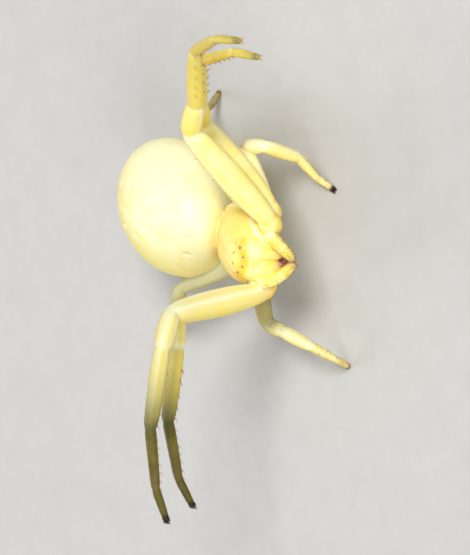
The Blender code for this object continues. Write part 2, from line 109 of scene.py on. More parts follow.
# Radii along each leg part as (share of its length, radius), waisted at the joints.
STOUT_RADII = {
    "coxa": ((0.0, 0.38), (0.5, 0.46), (0.9, 0.47), (1.0, 0.44)),
    "trochanter": ((0.0, 0.44), (0.4, 0.5), (0.8, 0.48), (1.0, 0.42)),
    "femur": ((0.0, 0.3), (0.06, 0.38), (0.22, 0.48), (0.48, 0.54), (0.76, 0.5), (0.93, 0.42),
              (1.0, 0.34)),
    "patella": ((0.0, 0.32), (0.14, 0.38), (0.5, 0.415), (0.86, 0.38), (1.0, 0.3)),
    "tibia": ((0.0, 0.28), (0.06, 0.325), (0.35, 0.335), (0.75, 0.3), (0.95, 0.27), (1.0, 0.22)),
    "metatarsus": ((0.0, 0.19), (0.05, 0.225), (0.3, 0.215), (0.7, 0.195), (0.96, 0.18), (1.0, 0.145)),
    "tarsus": ((0.0, 0.14), (0.08, 0.17), (0.5, 0.155), (0.85, 0.135), (1.0, 0.1)),
}
SLIM_RADII = {
    "coxa": ((0.0, 0.36), (0.5, 0.45), (0.9, 0.46), (1.0, 0.42)),
    "trochanter": ((0.0, 0.42), (0.4, 0.46), (0.8, 0.41), (1.0, 0.32)),
    "femur": ((0.0, 0.28), (0.08, 0.34), (0.3, 0.36), (0.7, 0.32), (0.93, 0.28), (1.0, 0.23)),
    "patella": ((0.0, 0.23), (0.16, 0.28), (0.5, 0.3), (0.86, 0.28), (1.0, 0.22)),
    "tibia": ((0.0, 0.21), (0.08, 0.26), (0.4, 0.275), (0.8, 0.24), (0.95, 0.22), (1.0, 0.18)),
    "metatarsus": ((0.0, 0.16), (0.08, 0.195), (0.4, 0.185), (0.95, 0.155), (1.0, 0.13)),
    "tarsus": ((0.0, 0.12), (0.1, 0.145), (0.5, 0.135), (0.85, 0.12), (1.0, 0.09)),
}
LEG_RADII = {1: STOUT_RADII, 2: STOUT_RADII, 3: SLIM_RADII, 4: SLIM_RADII}

# Each leg part's heading and rise in degrees: heading 0 is straight ahead, 90 is out to the
# leg's own side and 180 is straight back; rise is above the level.
POSE = {
    ("left", 1): ((120, 36), (66, 15.5), (68, 27), (28.5, 24.5), (11.5, 3)),
    ("left", 2): ((133, 21.5), (64.5, 33.5), (62, 29.5), (24, 8), (5.5, -1.5)),
    ("left", 3): ((126, 0.5), (16, -4.5), (-59.5, -67.5), (-63.5, -38.5), (-33, -31)),
    ("left", 4): ((127.5, 26), (159, -36.5), (164, -46), (199, -63.5), (126.5, -55.5)),
    ("right", 1): ((122, 87.5), (68, 33), (79, 15.5), (83, -7.5), (76, -18.5)),
    ("right", 2): ((149, 80), (69.5, 9.5), (77.5, 14), (65.5, 2), (71.5, -25.5)),
    ("right", 3): ((104.5, -31), (0.5, 4), (2.5, 7), (33.5, -42.5), (87.5, -62)),
    ("right", 4): ((145.5, 14), (127.5, -19.5), (131.5, -43), (142.5, -29.5), (137.5, -58)),
}
SIDES = {"left": 1, "right": -1}

# Jaws, in the body frame on the left side.
JAW_PATH = ((0.37, -1.3, -0.18), (0.22, -1.55, -1.03))
JAW_RADII = (("jaw", ((0.0, 0.34), (0.3, 0.355), (0.6, 0.32), (0.9, 0.24), (1.0, 0.19))),)
FANG_ROOT = (0.22, -1.6, -1.12)
FANG_WAY = (-0.35, -0.1, -1.0)

# The palps, in the body frame on the left side; right and left are held a little apart.
PALP_PATH = {
    "left": ((0.7, -1.15, -0.5), (1.01, -1.6, -0.59), (0.7, -1.92, -0.87), (0.17, -2.11, -1.35)),
    "right": ((0.7, -1.15, -0.5), (0.9, -1.6, -0.44), (0.44, -2.0, -0.93), (-0.03, -2.04, -1.45)),
}
PALP_RADII = (
    ("palp_femur", ((0.0, 0.2), (0.2, 0.24), (0.7, 0.245), (1.0, 0.21))),
    ("palp_tibia", ((0.0, 0.2), (0.2, 0.24), (0.6, 0.26), (1.0, 0.23))),
    ("palp_tarsus", ((0.0, 0.22), (0.15, 0.23), (0.55, 0.205), (0.85, 0.145), (1.0, 0.07))),
)

# Eyes, in the body frame on the left side: centre of the lens and its radius.
EYES = {
    "front_inner_eye": ((0.19, -1.331, 0.396), 0.045),
    "front_outer_eye": ((0.49, -1.119, 0.43), 0.065),
    "rear_inner_eye": ((0.22, -0.89, 0.57), 0.036),
    "rear_outer_eye": ((0.59, -0.88, 0.478), 0.042),
}

# The stalk and the mouth's lower pieces, in the body frame: start, end and (share, radius).
STALK = ((0.0, 1.15, -0.4), (-0.1, 2.3, -0.2), ((0.0, 0.3), (0.5, 0.24), (1.0, 0.3)))
ENDITE = ((0.26, -0.8, -1.0), (0.14, -1.4, -1.38), ((0.0, 0.18), (0.5, 0.21), (1.0, 0.14)))
LABIUM = ((0.0, -0.75, -1.06), (0.0, -1.1, -1.22), ((0.0, 0.16), (0.5, 0.15), (1.0, 0.09)))
# The sternum and the carapace's rear corner on the left: centre, half sizes and how much wider
# they are in front.
STERNUM = ((0.0, 0.05, -0.92), (0.62, 0.8, 0.33), 0.18)
REAR_CORNER = ((0.82, 1.12, -0.32), (0.42, 0.45, 0.3), 0.0)

# Spinnerets: their place on the abdomen in degrees, how deep each cone is set, how it tapers and
# (across, tilt, length, radius) of each.
SPINNERET_ALONG = 152.0
SPINNERET_DEPTH = 0.2
SPINNERET_TAPER = ((0.0, 1.0), (0.5, 0.95), (0.85, 0.7), (1.0, 0.4))
SPINNERETS = ((0.2, -60.0, 0.34, 0.16), (-0.2, -60.0, 0.34, 0.16), (0.17, -28.0, 0.3, 0.14),
              (-0.17, -28.0, 0.3, 0.14), (0.0, 8.0, 0.26, 0.15))

# The skin's making: the size of its voxels in millimetres, how often it is smoothed, how many
# faces are kept, the sides of a limb, the height and width of a limb's rounded end in radii and
# the rows of the grids that gaps are measured to.
VOXEL = 0.045
SMOOTHING_PASSES = 4
SKIN_FACES = 190000
LIMB_SIDES = 16
ROUND_END = (0.75, 0.45)
FORM_ROWS = 72

# Lines and hollows worked into the back of the carapace, in plan on the left side and mirrored:
# a path of (x, y), the width of the stroke and how far it raises the skin.
CARAPACE_STROKES = (
    (((0.0, 0.32), (0.0, 0.74)), 0.09, -0.045),
    (((0.05, 0.3), (0.36, -0.15), (0.67, -0.55), (0.86, -0.95)), 0.08, -0.022),
    (((0.12, 0.42), (0.62, 0.12), (1.18, -0.1)), 0.08, -0.016),
    (((0.12, 0.58), (0.66, 0.6), (1.2, 0.6)), 0.08, -0.016),
    (((0.1, 0.74), (0.5, 1.0), (0.86, 1.2)), 0.08, -0.016),
    (((0.25, 0.1), (0.34, -0.5)), 0.18, 0.018),
)
# Lines on the front of the head, given in the same way but as (x, y, z).
FACE_STROKES = (
    (((0.0, -1.58, -0.06), (0.45, -1.5, -0.06), (0.82, -1.27, -0.1)), 0.05, 0.025),
    (((0.0, -1.58, -0.18), (0.45, -1.5, -0.18), (0.8, -1.27, -0.22)), 0.05, -0.02),
    (((0.46, -1.13, 0.42), (0.6, -0.88, 0.47)), 0.13, 0.035),
    (((0.0, -1.6, -0.3), (0.0, -1.76, -0.95)), 0.04, -0.05),
)
# The rim round each eye: its radius in lens radii, its width and its height.
EYE_RIM_RADIUS = 1.15
EYE_RIM_WIDTH = 0.03
EYE_RIM_HEIGHT = 0.03

# How far outside the carapace and the abdomen their lines fade out, and the levels between which
# lines set in over the carapace's edge, on the abdomen's back and on its underside.
CARAPACE_FADE = (0.12, 0.3)
ABDOMEN_FADE = (0.1, 0.25)
ABOVE_EDGE = (EDGE_LEVEL, EDGE_LEVEL + 0.15)
ABDOMEN_BACK = (0.1, 0.4)
ABDOMEN_UNDERSIDE = (0.6, 1.1)

# Dimples and folds of the abdomen: dimples in plan as (x, y, width, depth), on the left side and
# mirrored, then the faint line along its back, the folds round its rear and the furrow across its
# underside. Where these begin and end is given in shares of half its length, from its middle.
DIMPLES = ((0.0, -1.55, 0.13, 0.05), (0.62, -0.72, 0.13, 0.07), (0.78, 0.35, 0.13, 0.06),
           (0.6, 1.25, 0.1, 0.04), (0.36, -2.88, 0.09, 0.05))
BACK_LINE_WIDTH = 0.16
BACK_LINE_DEPTH = 0.022
BACK_LINE_BEGINS = (-0.85, -0.5)
BACK_LINE_ENDS = (0.1, 0.7)
FOLDS_BEGIN = (0.45, 0.8)
FOLD_SPACING = 0.24
FOLD_DEPTH = 0.012
FURROW_PLACE = -1.35
FURROW_WIDTH = 0.09
FURROW_DEPTH = 0.06
FURROW_BEND = 0.12

# The spot inside the head that the eyes look away from, and how the lenses are shaped: how flat
# each is and where it is cut off, as a share of its radius.
HEAD_MIDDLE = (0.0, -0.55, -0.35)
LENS_FLATNESS = 0.86
LENS_CUT = 0.35

# Length, radius and curl in degrees of the fangs and of the claws of feet and palps; then how
# far the two claws of a foot spread and point upwards, and half the gap between them.
FANG = (0.44, 0.085, 60)
FOOT_CLAW = (0.2, 0.03, 75)
PALP_CLAW = (0.1, 0.018, 60)
CLAW_SPLAY = 0.3
CLAW_LIFT = 0.25
CLAW_GAP = 0.04
# How many lengths a hook is drawn in, its sides, how it tapers and the radius of its tip.
HOOK_STEPS = 8
HOOK_SIDES = 12
HOOK_TAPER = 1.6
HOOK_TIP = 0.006

# The markings that are kept on the points of the skin and of its hairs. The cream mark also
# carries painted light, and the orange, olive and dark marks also carry painted shade.
MARKS = ("cream_and_light", "olive_and_shade", "rosy", "orange_and_shade", "dark_and_shade", "abdomen")

# How each limb part is painted: how cream it is, how strong the stripe along its back is and how
# orange it is; then how rosy some of them are at start and end and with what power that grows.
LIMB_PAINT = {
    "coxa": (0.2, 0.2, 0.4),
    "trochanter": (0.25, 0.25, 0.2),
    "femur": (0.5, 0.5, 0.0),
    "patella": (0.4, 0.45, 0.0),
    "tibia": (0.3, 0.4, 0.05),
    "metatarsus": (0.15, 0.2, 0.1),
    "tarsus": (0.15, 0.1, 0.1),
    "palp_femur": (0.6, 0.1, 0.05),
    "palp_tibia": (0.25, 0.2, 0.2),
    "palp_tarsus": (0.15, 0.15, 0.35),
    "jaw": (0.28, 0.1, 0.12),
}
LIMB_ROSE = {"metatarsus": (0.0, 0.1, 2), "tarsus": (0.1, 0.4, 2), "palp_tibia": (0.0, 0.05, 2),
             "palp_tarsus": (0.0, 0.7, 2), "jaw": (0.0, 0.8, 6)}
# How olive each leg is, at the start of its femur and at the end of each of its five parts. This
# is partly the legs' own olive brown towards their feet and partly painted shade, which darkens
# the right hind leg, the right third femur and the right front knee.
OLIVE_AND_SHADE_ALONG = {
    ("left", 1): (0.0, 0.03, 0.18, 0.32, 0.35, 0.6),
    ("left", 2): (0.0, 0.0, 0.15, 0.22, 0.14, 0.5),
    ("left", 3): (0.0, 0.0, 0.0, 0.0, 0.05, 0.15),
    ("left", 4): (0.0, 0.1, 0.2, 0.4, 0.7, 0.8),
    ("right", 1): (0.05, 0.24, 0.3, 0.97, 1.0, 1.0),
    ("right", 2): (0.1, 0.12, 0.18, 0.95, 1.0, 1.0),
    ("right", 3): (0.75, 0.5, 0.08, 0.22, 0.24, 0.2),
    ("right", 4): (0.5, 0.55, 0.5, 0.5, 0.5, 0.5),
}
OLIVE_POWER = 1.7
# The stripe: how far the skin has to face back for it, the place and width of its paler borders,
# and how much of the orange it covers.
STRIPE_TOP = (0.7, 0.95)
STRIPE_BORDER = (0.3, 0.22)
STRIPE_COVER = 0.6
# More about the limbs: how wide the cream is at the start and the end of each part, how much
# creamier these joints and the hind legs are, and the painted shade: what a limb's side turned
# from the painted light keeps of its cream and gains in orange, and that orange for the legs' bases.
JOINT_WIDTHS = (0.05, 0.07)
JOINT_CREAM = 0.25
HIND_CREAM = 0.35
SHADED_CREAM = 0.35
SHADED_ORANGE = 0.2
BASE_SHADE_ORANGE = 1.2
# How dark the palps get, at their ends and, as painted shade, on their inner sides where the two
# meet; where the feet turn dark, and how dark the brown ones get.
PALP_DARKNESS = 0.35
PALP_END = (0.85, 1.0)
PALP_INNER_SHADE = ((0.3, 0.9), (0.3, 0.7))
FOOT_DARKENS = (0.72, 0.88)
BROWN_DARKNESS = 0.25
# The rose on the inner side of the left front shanks, and that on the left third knee with its
# width.
SHANK_ROSE = 0.6
SHANK_INNER = (0.0, 0.8)
KNEE_ROSE = (0.8, 0.22)
# The feet that are black at the end; the others are brown there.
BLACK_FEET = ("leg_right_1", "leg_right_2", "leg_left_3")
# Painted light: the way that the painted light comes from. Skin facing it is painted paler and skin
# turned from it is painted as shaded, and the span gives from how far off it the skin grows paler.
PAINTED_LIGHT_WAY = (0.585, -0.53, 0.61)
PAINTED_LIGHT_SPAN = (-0.3, 0.95)
# Where the paint of abdomen and carapace gives way to their neighbours', as a difference of gaps.
ABDOMEN_EDGE = (-0.05, 0.12)
CARAPACE_EDGE = (-0.08, 0.08)

# The carapace's own cream, with more on its back, and its orange, with less at its rear.
CARAPACE_CREAM = 0.4
BACK_CREAM = 0.1
BACK_LEVELS = (-0.1, 0.7)
CARAPACE_ORANGE = 0.34
REAR_PALENESS = 0.16
REAR_SPAN = (0.2, 1.0)
# The abdomen's cream, which grows as painted light where it faces the light; the painted shade
# orange on its side turned from the light and in the crease where it meets the carapace; and the
# seam along the legs' bases: its width, the cream of painted light that lightens it and how much
# of the orange it takes away.
ABDOMEN_CREAM = 0.2
ABDOMEN_SHADE_ORANGE = 0.06
CREASE_SHADE_ORANGE = 0.55
CREASE_WIDTH = 0.28
SEAM_WIDTH = 0.1
SEAM_LIGHT = 0.08
SEAM_COVER = 0.8

# The pale streak along each side of the carapace, the pale band across the face and the line of
# the eyes, in the body frame; how far the streak covers the orange, and the rose round each eye.
STREAK = ((1.32, -0.33, -0.31), (1.22, -0.66, -0.2), (1.045, -1.0, -0.18), (0.95, -1.16, -0.22))
STREAK_WIDTH = 0.085
STREAK_COVER = (0.05, 0.6)
FACE_BAND = ((0.0, -1.52, 0.15), (0.4, -1.44, 0.15), (0.75, -1.2, 0.12))
FACE_BAND_WIDTH = 0.09
FACE_CREAM = 0.45
EYE_LINE = ((0.0, -1.4, 0.36), (0.3, -1.27, 0.4), (0.52, -1.1, 0.41), (0.66, -1.1, 0.28))
EYE_LINE_WIDTH = 0.18
EYE_ROSE = 0.7
EYE_ROSE_WIDTH = 0.035

# Colours, as linear red, green and blue: the skin's yellow, cream, orange, olive, rose and dark,
# with the cream also used as painted light and the orange, olive and dark also as painted shade;
# how many times as bright the hairs are, and the floor's two greys.
PALETTE = ((0.88, 0.72, 0.08), (0.93, 0.915, 0.62), (0.87, 0.58, 0.06), (0.07, 0.062, 0.008),
           (0.6, 0.3, 0.16), (0.03, 0.018, 0.014))
HAIR_BRIGHTNESS = 1.12
FLOOR_PALE = (0.53, 0.53, 0.53)
FLOOR_GREY = (0.47, 0.47, 0.47)

# The skin's shine, how much duller it is where it is marked olive or dark, painted shade included,
# and how dull it gets at most; then how strong its pale grains, its clouds and the patches in its olive are.
SKIN_SHINE = 0.45
DULLNESS = 0.32
LEAST_SHINE = 0.1
GRAIN_STRENGTH = 0.28
CLOUD_STRENGTH = 0.16
PATCH_STRENGTH = 0.05

# Finishes of the small pieces: two near colours and the shader's own values.
SMALL_FINISHES = {
    "lens": ((0.1, 0.035, 0.02), (0.2, 0.07, 0.035),
             {"Roughness": 0.08, "Coat Weight": 1.0, "Coat Roughness": 0.03, "Specular IOR Level": 0.6}),
    "fang": ((0.17, 0.04, 0.04), (0.36, 0.12, 0.085),
             {"Roughness": 0.25, "Coat Weight": 0.4, "Coat Roughness": 0.15}),
    "claw": ((0.015, 0.01, 0.008), (0.05, 0.025, 0.015), {"Roughness": 0.3, "Coat Weight": 0.2}),
    "spine": ((0.3, 0.14, 0.05), (0.55, 0.3, 0.1), {"Roughness": 0.35, "Coat Weight": 0.15}),
    "bristle": ((0.12, 0.065, 0.03), (0.26, 0.15, 0.07), {"Roughness": 0.4}),
    "tuft": ((0.02, 0.014, 0.012), (0.06, 0.035, 0.025),
             {"Roughness": 0.6, "Specular IOR Level": 0.2}),
}

# Spines of the front legs: how many to a row, length, radius, the side that the two rows lie
# about in degrees from the leg's back, how far either side of it, and the shares they span.
SPINE_ROWS = {
    "femur": (3, 0.16, 0.02, 20.0, 24.0, (0.35, 0.8)),
    "tibia": (5, 0.3, 0.026, 180.0, 30.0, (0.25, 0.93)),
    "metatarsus": (7, 0.28, 0.024, 180.0, 34.0, (0.12, 0.95)),
}
SPINE_RISE = 38.0
# How far a spine may stand off its place, as a share of the part's length, and off its rise.
SPINE_STRAY = (0.015, 6.0)

# A bristle takes root where the skin faces its way at least this much.
LEAST_FACING = 0.3
# How far from its guessed place a root may lie, how far the tip sags as a share of the length and
# how sizes vary: for bristles on limbs, for those on body forms and for spines; then that reach
# for the bristles of the face, and how the rises and sways of all bristles vary.
LIMB_REACH, LIMB_SAG, LIMB_SIZES = 0.12, 0.12, (0.65, 1.25)
BODY_REACH, BODY_SAG, BODY_SIZES = 0.15, 0.15, (0.6, 1.3)
SPINE_REACH, SPINE_SAG, SPINE_SIZES = 0.15, 0.1, (0.85, 1.1)
FACE_REACH = 0.3
RISES = (0.7, 1.3)
SWAYS = (-0.2, 0.2)
# The widths of a bristle at its root and at a share of its length.
BRISTLE_WIDTHS = ((0.0, 1.0), (0.45, 0.8))

# Dark bristles of each limb part: count, length, radius, rise in degrees, the shares that they
# span and how far round from the part's back they stand.
DARK_BRISTLES = {
    "palp_femur": (6, 0.11, 0.007, 45, (0.3, 1.0), 60),
    "palp_tibia": (34, 0.13, 0.006, 42, (0.0, 1.0), 65),
    "palp_tarsus": (60, 0.12, 0.006, 36, (0.0, 1.0), 85),
    "tibia": (18, 0.1, 0.006, 30, (0.1, 1.0), 180),
    "metatarsus": (70, 0.09, 0.0055, 28, (0.0, 1.0), 180),
    "tarsus": (90, 0.085, 0.0055, 26, (0.0, 1.0), 180),
    "jaw": (8, 0.1, 0.006, 40, (0.5, 1.0), 60),
    "patella": (4, 0.1, 0.006, 36, (0.2, 1.0), 100),
}
# Single stout bristles of the face, in the body frame: place and length.
FACE_BRISTLES = ((0.1, -1.57, 0.05, 0.17), (0.33, -1.52, 0.02, 0.17), (0.58, -1.4, 0.02, 0.16),
                 (0.8, -1.2, 0.05, 0.15), (0.4, -0.95, 0.56, 0.1), (0.8, -0.9, 0.35, 0.1))
FACE_BRISTLE_RADIUS = 0.008
FACE_BRISTLE_LEAN = 0.6
# The spot inside the body that its bristles and hairs point away from.
BODY_MIDDLE = (0.0, 0.0, -0.2)
# Bristles and hairs of the carapace and hairs of the abdomen: count, length, radius and rise,
# and for the bristles also the shares and turns that they span.
BACK_BRISTLES = (10, 0.11, 0.007, 50, (0.12, 0.85), (0.02, 0.48))
CARAPACE_HAIRS = (260, 0.1, 0.005, 30)
ABDOMEN_HAIRS = (1500, 0.1, 0.005, 26)
LIMB_HAIRS = (0.13, 0.0055, 28)
LIMB_HAIRS_PER_MM2 = 9.0
# The brushes under the black feet and the brown ones: count, length, radius, rise and shares.
BLACK_BRUSH = (130, 0.13, 0.007, 24, (0.84, 1.0))
BROWN_BRUSH = (50, 0.08, 0.007, 24, (0.84, 1.0))

# The unwrapped skin: cells to a row, the margin of a cell and the size of a hair's patch.
ATLAS_CELLS = 9
CELL_MARGIN = 0.05
PATCH_SIZE = 0.003

# Lamps: the way to each, its distance and size in metres, its power and its colour.
LAMPS = {
    "key": ((0.51, -0.3, 0.72), 0.5, 0.2, 2.15, (1.0, 0.985, 0.95)),
    "fill": ((-0.5, -0.8, 0.5), 0.6, 0.5, 1.9, (1.0, 0.99, 0.96)),
    "rim": ((-0.4, 0.8, 0.45), 0.6, 0.3, 0.9, (1.0, 0.98, 0.95)),
}
SURROUND_COLOUR = (1.0, 0.99, 0.97)
SURROUND_STRENGTH = 0.45
FLOOR_SIZE = 1.2
# The spot that the lamps are aimed at, in millimetres.
LIT_SPOT = (0.0, 0.0, 4.0)

# The camera: its axes in the upright frame, the spot that it holds at a given pixel, its
# distance in millimetres, its scale in pixels to the millimetre, its sensor in millimetres and
# how near it still sees, in metres.
VIEW_RIGHT = (0.095, -0.702, -0.705)
VIEW_UP = (0.952, 0.270, -0.140)
VIEW_SPOT = (0.0, 0.0, 3.6)
SPOT_PIXEL = (237.5, 250.5)
IMAGE_SIZE = (470, 555)
PIXELS_PER_MM = 26.5
CAMERA_DISTANCE = 200.0
SENSOR = 36.0
CLIP_START = 0.01

BODY = (Matrix.Translation((0, 0, CARAPACE_HEIGHT))
        @ Matrix.Rotation(-math.radians(NOSE_UP), 4, "X")
        @ Matrix.Translation(BODY_OFFSET)
        @ Matrix.Rotation(-math.radians(BODY_TURN), 4, "Z")
        @ Matrix.Rotation(-math.radians(BODY_LEAN), 4, "Y"))
ABDOMEN = (BODY @ Matrix.Translation(ABDOMEN_CENTRE)
           @ Matrix.Rotation(-math.radians(ABDOMEN_TURN), 4, "Z")
           @ Matrix.Rotation(-math.radians(ABDOMEN_DROOP), 4, "X"))

# One length of a limb: its limb and part, its ends, its radii and the way its back faces.
Segment = namedtuple("Segment", "limb part start end radii back")


def from_body(point, side=1):
    """A point of the body frame in the upright frame; side -1 mirrors it to the right."""
    return BODY @ Vector((side * point[0], point[1], point[2]))


def direction(heading, rise, side):
    """The unit vector of a leg part."""
    level = math.cos(math.radians(rise))
    return Vector((side * level * math.sin(math.radians(heading)),
                   -level * math.cos(math.radians(heading)),
                   math.sin(math.radians(rise))))


def abdomen_point(along, turn):
    """A point of the abdomen's surface: along runs from 0 in front to 180 at the rear."""
    reach = math.sin(math.radians(along))
    back = -math.cos(math.radians(along))
    swell = 1 + ABDOMEN_REAR_SWELL * back
    wide, long, high = ABDOMEN_HALF_SIZES
    return ABDOMEN @ Vector((wide * reach * swell * math.cos(turn), long * back,
                             high * reach * swell * math.sin(turn)))


def abdomen_share(share, turn):
    """A point of the abdomen at a share of its length."""
    return abdomen_point(math.degrees(math.acos(1 - 2 * share)), turn)


def carapace_point(share, turn):
    """A point of the carapace and sternum at a share of the length and a turn about it."""
    y = CARAPACE_FRONT + (CARAPACE_REAR - CARAPACE_FRONT) * share
    swell = math.sin(math.pi * share ** OUTLINE_SHIFT) ** OUTLINE_POWER
    narrowing = HEAD_NARROWING * max(0.0, 1 - share / HEAD_SHARE) ** 2
    half = CARAPACE_HALF_WIDTH * (swell - narrowing * swell ** 3)
    half *= 1 + REAR_FULLNESS * step_up(share, *REAR_FULLNESS_SPAN)
    arch = math.sin(math.pi * (BACK_START + (1 - BACK_START) * share)) ** BACK_POWER
    top = CARAPACE_TOP * arch * min(1.0, swell + TOP_FULLNESS)
    bottom = STERNUM_BOTTOM * swell ** BELLY_POWER
    reach, lift = math.cos(turn), math.sin(turn)
    if lift >= 0:
        x = half * abs(reach) ** FLANK_POWER
        z = EDGE_LEVEL + (top - EDGE_LEVEL) * lift
    else:
        x = half * abs(reach) ** BELLY_FLANK_POWER
        z = EDGE_LEVEL + (bottom - EDGE_LEVEL) * abs(lift) ** BELLY_POWER
    return from_body((math.copysign(x, reach), y, z))


def find_shift():
    """How far the frame's origin lies from the upright frame's, in millimetres.

    The abdomen's solid is built again from its rings, and the box that the frame gives for it
    tells where the frame has its far corner.
    """
    corner = Vector((-1e9, -1e9, -1e9))
    for ring in range(SOLID_RINGS):
        along = 180 * (ring + 0.75) / (SOLID_RINGS + 0.5)
        for step in range(SOLID_SIDES):
            point = abdomen_point(along, 2 * math.pi * step / SOLID_SIDES)
            corner = Vector(max(pair) for pair in zip(corner, point))
    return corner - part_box("abdomen")[1] / MM


TO_FRAME = Matrix.Scale(MM, 4) @ Matrix.Translation(-find_shift())


def select_only(piece):
    """Make a piece the only one that operators act on."""
    bpy.ops.object.select_all(action="DESELECT")
    bpy.context.view_layer.objects.active = piece
    piece.select_set(True)


def apply_modifier(piece, kind, **settings):
    """Add a modifier to a piece and apply it."""
    select_only(piece)
    step = piece.modifiers.new(kind.lower(), kind)
    for key, value in settings.items():
        setattr(step, key, value)
    bpy.ops.object.modifier_apply(modifier=step.name)


def join(name, pieces):
    """Join pieces into the first of them, under a new name."""
    select_only(pieces[0])
    for piece in pieces:
        piece.select_set(True)
    bpy.ops.object.join()
    pieces[0].name = name
    pieces[0].data.name = name
    return pieces[0]


def loft(name, stations, place, sides=LIMB_SIDES):
    """A round bar through stations of (height, x radius, y radius), set at a place.

    It starts as a disc and is drawn out ring by ring, and its ends are left as small discs.
    """
    bpy.ops.object.select_all(action="DESELECT")
    height, wide, deep = stations[0]
    bpy.ops.mesh.primitive_circle_add(vertices=sides, radius=1, fill_type="NGON", location=(0, 0, height))
    piece = bpy.context.object
    piece.name = name
    piece.scale = (wide, deep, 1)
    bpy.ops.object.transform_apply(location=True, rotation=True, scale=True)
    bpy.ops.object.mode_set(mode="EDIT")
    bpy.ops.mesh.select_all(action="SELECT")
    for before, after in zip(stations, stations[1:]):
        bpy.ops.mesh.extrude_region_move(TRANSFORM_OT_translate={"value": (0, 0, after[0] - before[0])})
        bpy.ops.transform.resize(value=(after[1] / before[1], after[2] / before[2], 1),
                                 center_override=(0, 0, after[0]))
    bpy.ops.mesh.select_all(action="SELECT")
    bpy.ops.mesh.normals_make_consistent(inside=False)
    bpy.ops.object.mode_set(mode="OBJECT")
    piece.data.transform(place)
    return piece


def place_along(start, end, back):
    """The placement that puts +Z along a limb and +Y towards its back."""
    along = (end - start).normalized()
    across = back.cross(along).normalized()
    return Matrix.Translation(start) @ Matrix((across, along.cross(across), along)).transposed().to_4x4()


def rounded_stations(radii, length):
    """Stations for a limb part with round ends, a little wide so that it smooths to size."""
    widen = 3 / (2 + math.cos(2 * math.pi / LIMB_SIDES))
    first, last = radii[0][1] * widen, radii[-1][1] * widen
    high, wide = ROUND_END
    stations = [(-high * first, wide * first, wide * first)]
    stations += [(share * length, radius * widen, radius * widen) for share, radius in radii]
    stations.append((length + high * last, wide * last, wide * last))
    return stations


def limb_form(segment):
    """The rounded form of one limb part."""
    length = (segment.end - segment.start).length
    place = place_along(segment.start, segment.end, segment.back)
    piece = loft(segment.limb + "_" + segment.part, rounded_stations(segment.radii, length), place)
    apply_modifier(piece, "SUBSURF", levels=2, render_levels=2)
    return piece


def egg_form(name, shape, segments=64, rings=40):
    """A globe pressed to a shape, a function of the share of its length and the turn."""
    bpy.ops.object.select_all(action="DESELECT")
    bpy.ops.mesh.primitive_uv_sphere_add(segments=segments, ring_count=rings, radius=1)
    piece = bpy.context.object
    piece.name = name
    for vertex in piece.data.vertices:
        share = 0.5 - 0.5 * max(-1.0, min(1.0, vertex.co.z))
        vertex.co = shape(share, math.atan2(vertex.co.y, vertex.co.x))
    return piece


def leg_segments(side, pair):
    """The seven lengths of one leg."""
    label = "leg_{}_{}".format(side, pair)
    start, root = from_body(COXA_START[pair], SIDES[side]), from_body(LEG_ROOT[pair], SIDES[side])
    joints = [start, start.lerp(root, TROCHANTER_SHARE), root]
    for length, (heading, rise) in zip(LENGTHS[pair], POSE[(side, pair)]):
        joints.append(joints[-1] + direction(heading, rise, SIDES[side]) * length)
    made = []
    for index, part in enumerate(("coxa", "trochanter") + LEG_PARTS):
        near, far = joints[index], joints[index + 1]
        along = (far - near).normalized()
        onward = (joints[index + 2] - far).normalized() if index + 2 < len(joints) else Vector((0, 0, -1))
        back = -(onward - along * onward.dot(along))
        if index < 2 or back.length < LEAST_BEND:
            back = Vector((0, 0, 1)) - along * along.z
        made.append(Segment(label, part, near, far, LEG_RADII[pair][part], back.normalized()))
    return made


def facing_segments(label, path, parts, way):
    """The lengths of a limb whose back faces one way all along it."""
    made = []
    for (part, radii), near, far in zip(parts, path, path[1:]):
        along = (far - near).normalized()
        made.append(Segment(label, part, near, far, radii, (way - along * way.dot(along)).normalized()))
    return made


LEGS = {(side, pair): leg_segments(side, pair) for side in SIDES for pair in LENGTHS}
PALPS = {}
JAWS = {}
for side, sign in SIDES.items():
    palp, jaw = ([from_body(point, sign) for point in path] for path in (PALP_PATH[side], JAW_PATH))
    outwards = from_body((1, -1, 0.3), sign) - from_body((0, 0, 0))
    PALPS[side] = facing_segments("palp_" + side, palp, PALP_RADII, outwards)
    JAWS[side] = facing_segments("jaw_" + side, jaw, JAW_RADII, BODY.to_3x3() @ Vector((0, -1, 0)))
LIMBS = [segment for limbs in (LEGS, PALPS, JAWS) for limb in limbs.values() for segment in limb]


def feet(black):
    """The last lengths of the legs whose feet are black, or of the other legs."""
    return [leg[-1] for leg in LEGS.values() if (leg[-1].limb in BLACK_FEET) == black]


def small_egg(name, centre, half_sizes, widening, side=1):
    """A small egg in the body frame, wider in front; side -1 mirrors it to the right."""
    wide, long, high = half_sizes

    def shape(share, turn):
        reach = math.sin(math.acos(1 - 2 * share))
        heart = 1 + widening * (1 - 2 * share)
        return from_body((centre[0] + side * wide * heart * reach * math.cos(turn),
                          centre[1] + long * (2 * share - 1),
                          centre[2] + high * reach * math.sin(turn)), side)

    return egg_form(name, shape, 32, 20)


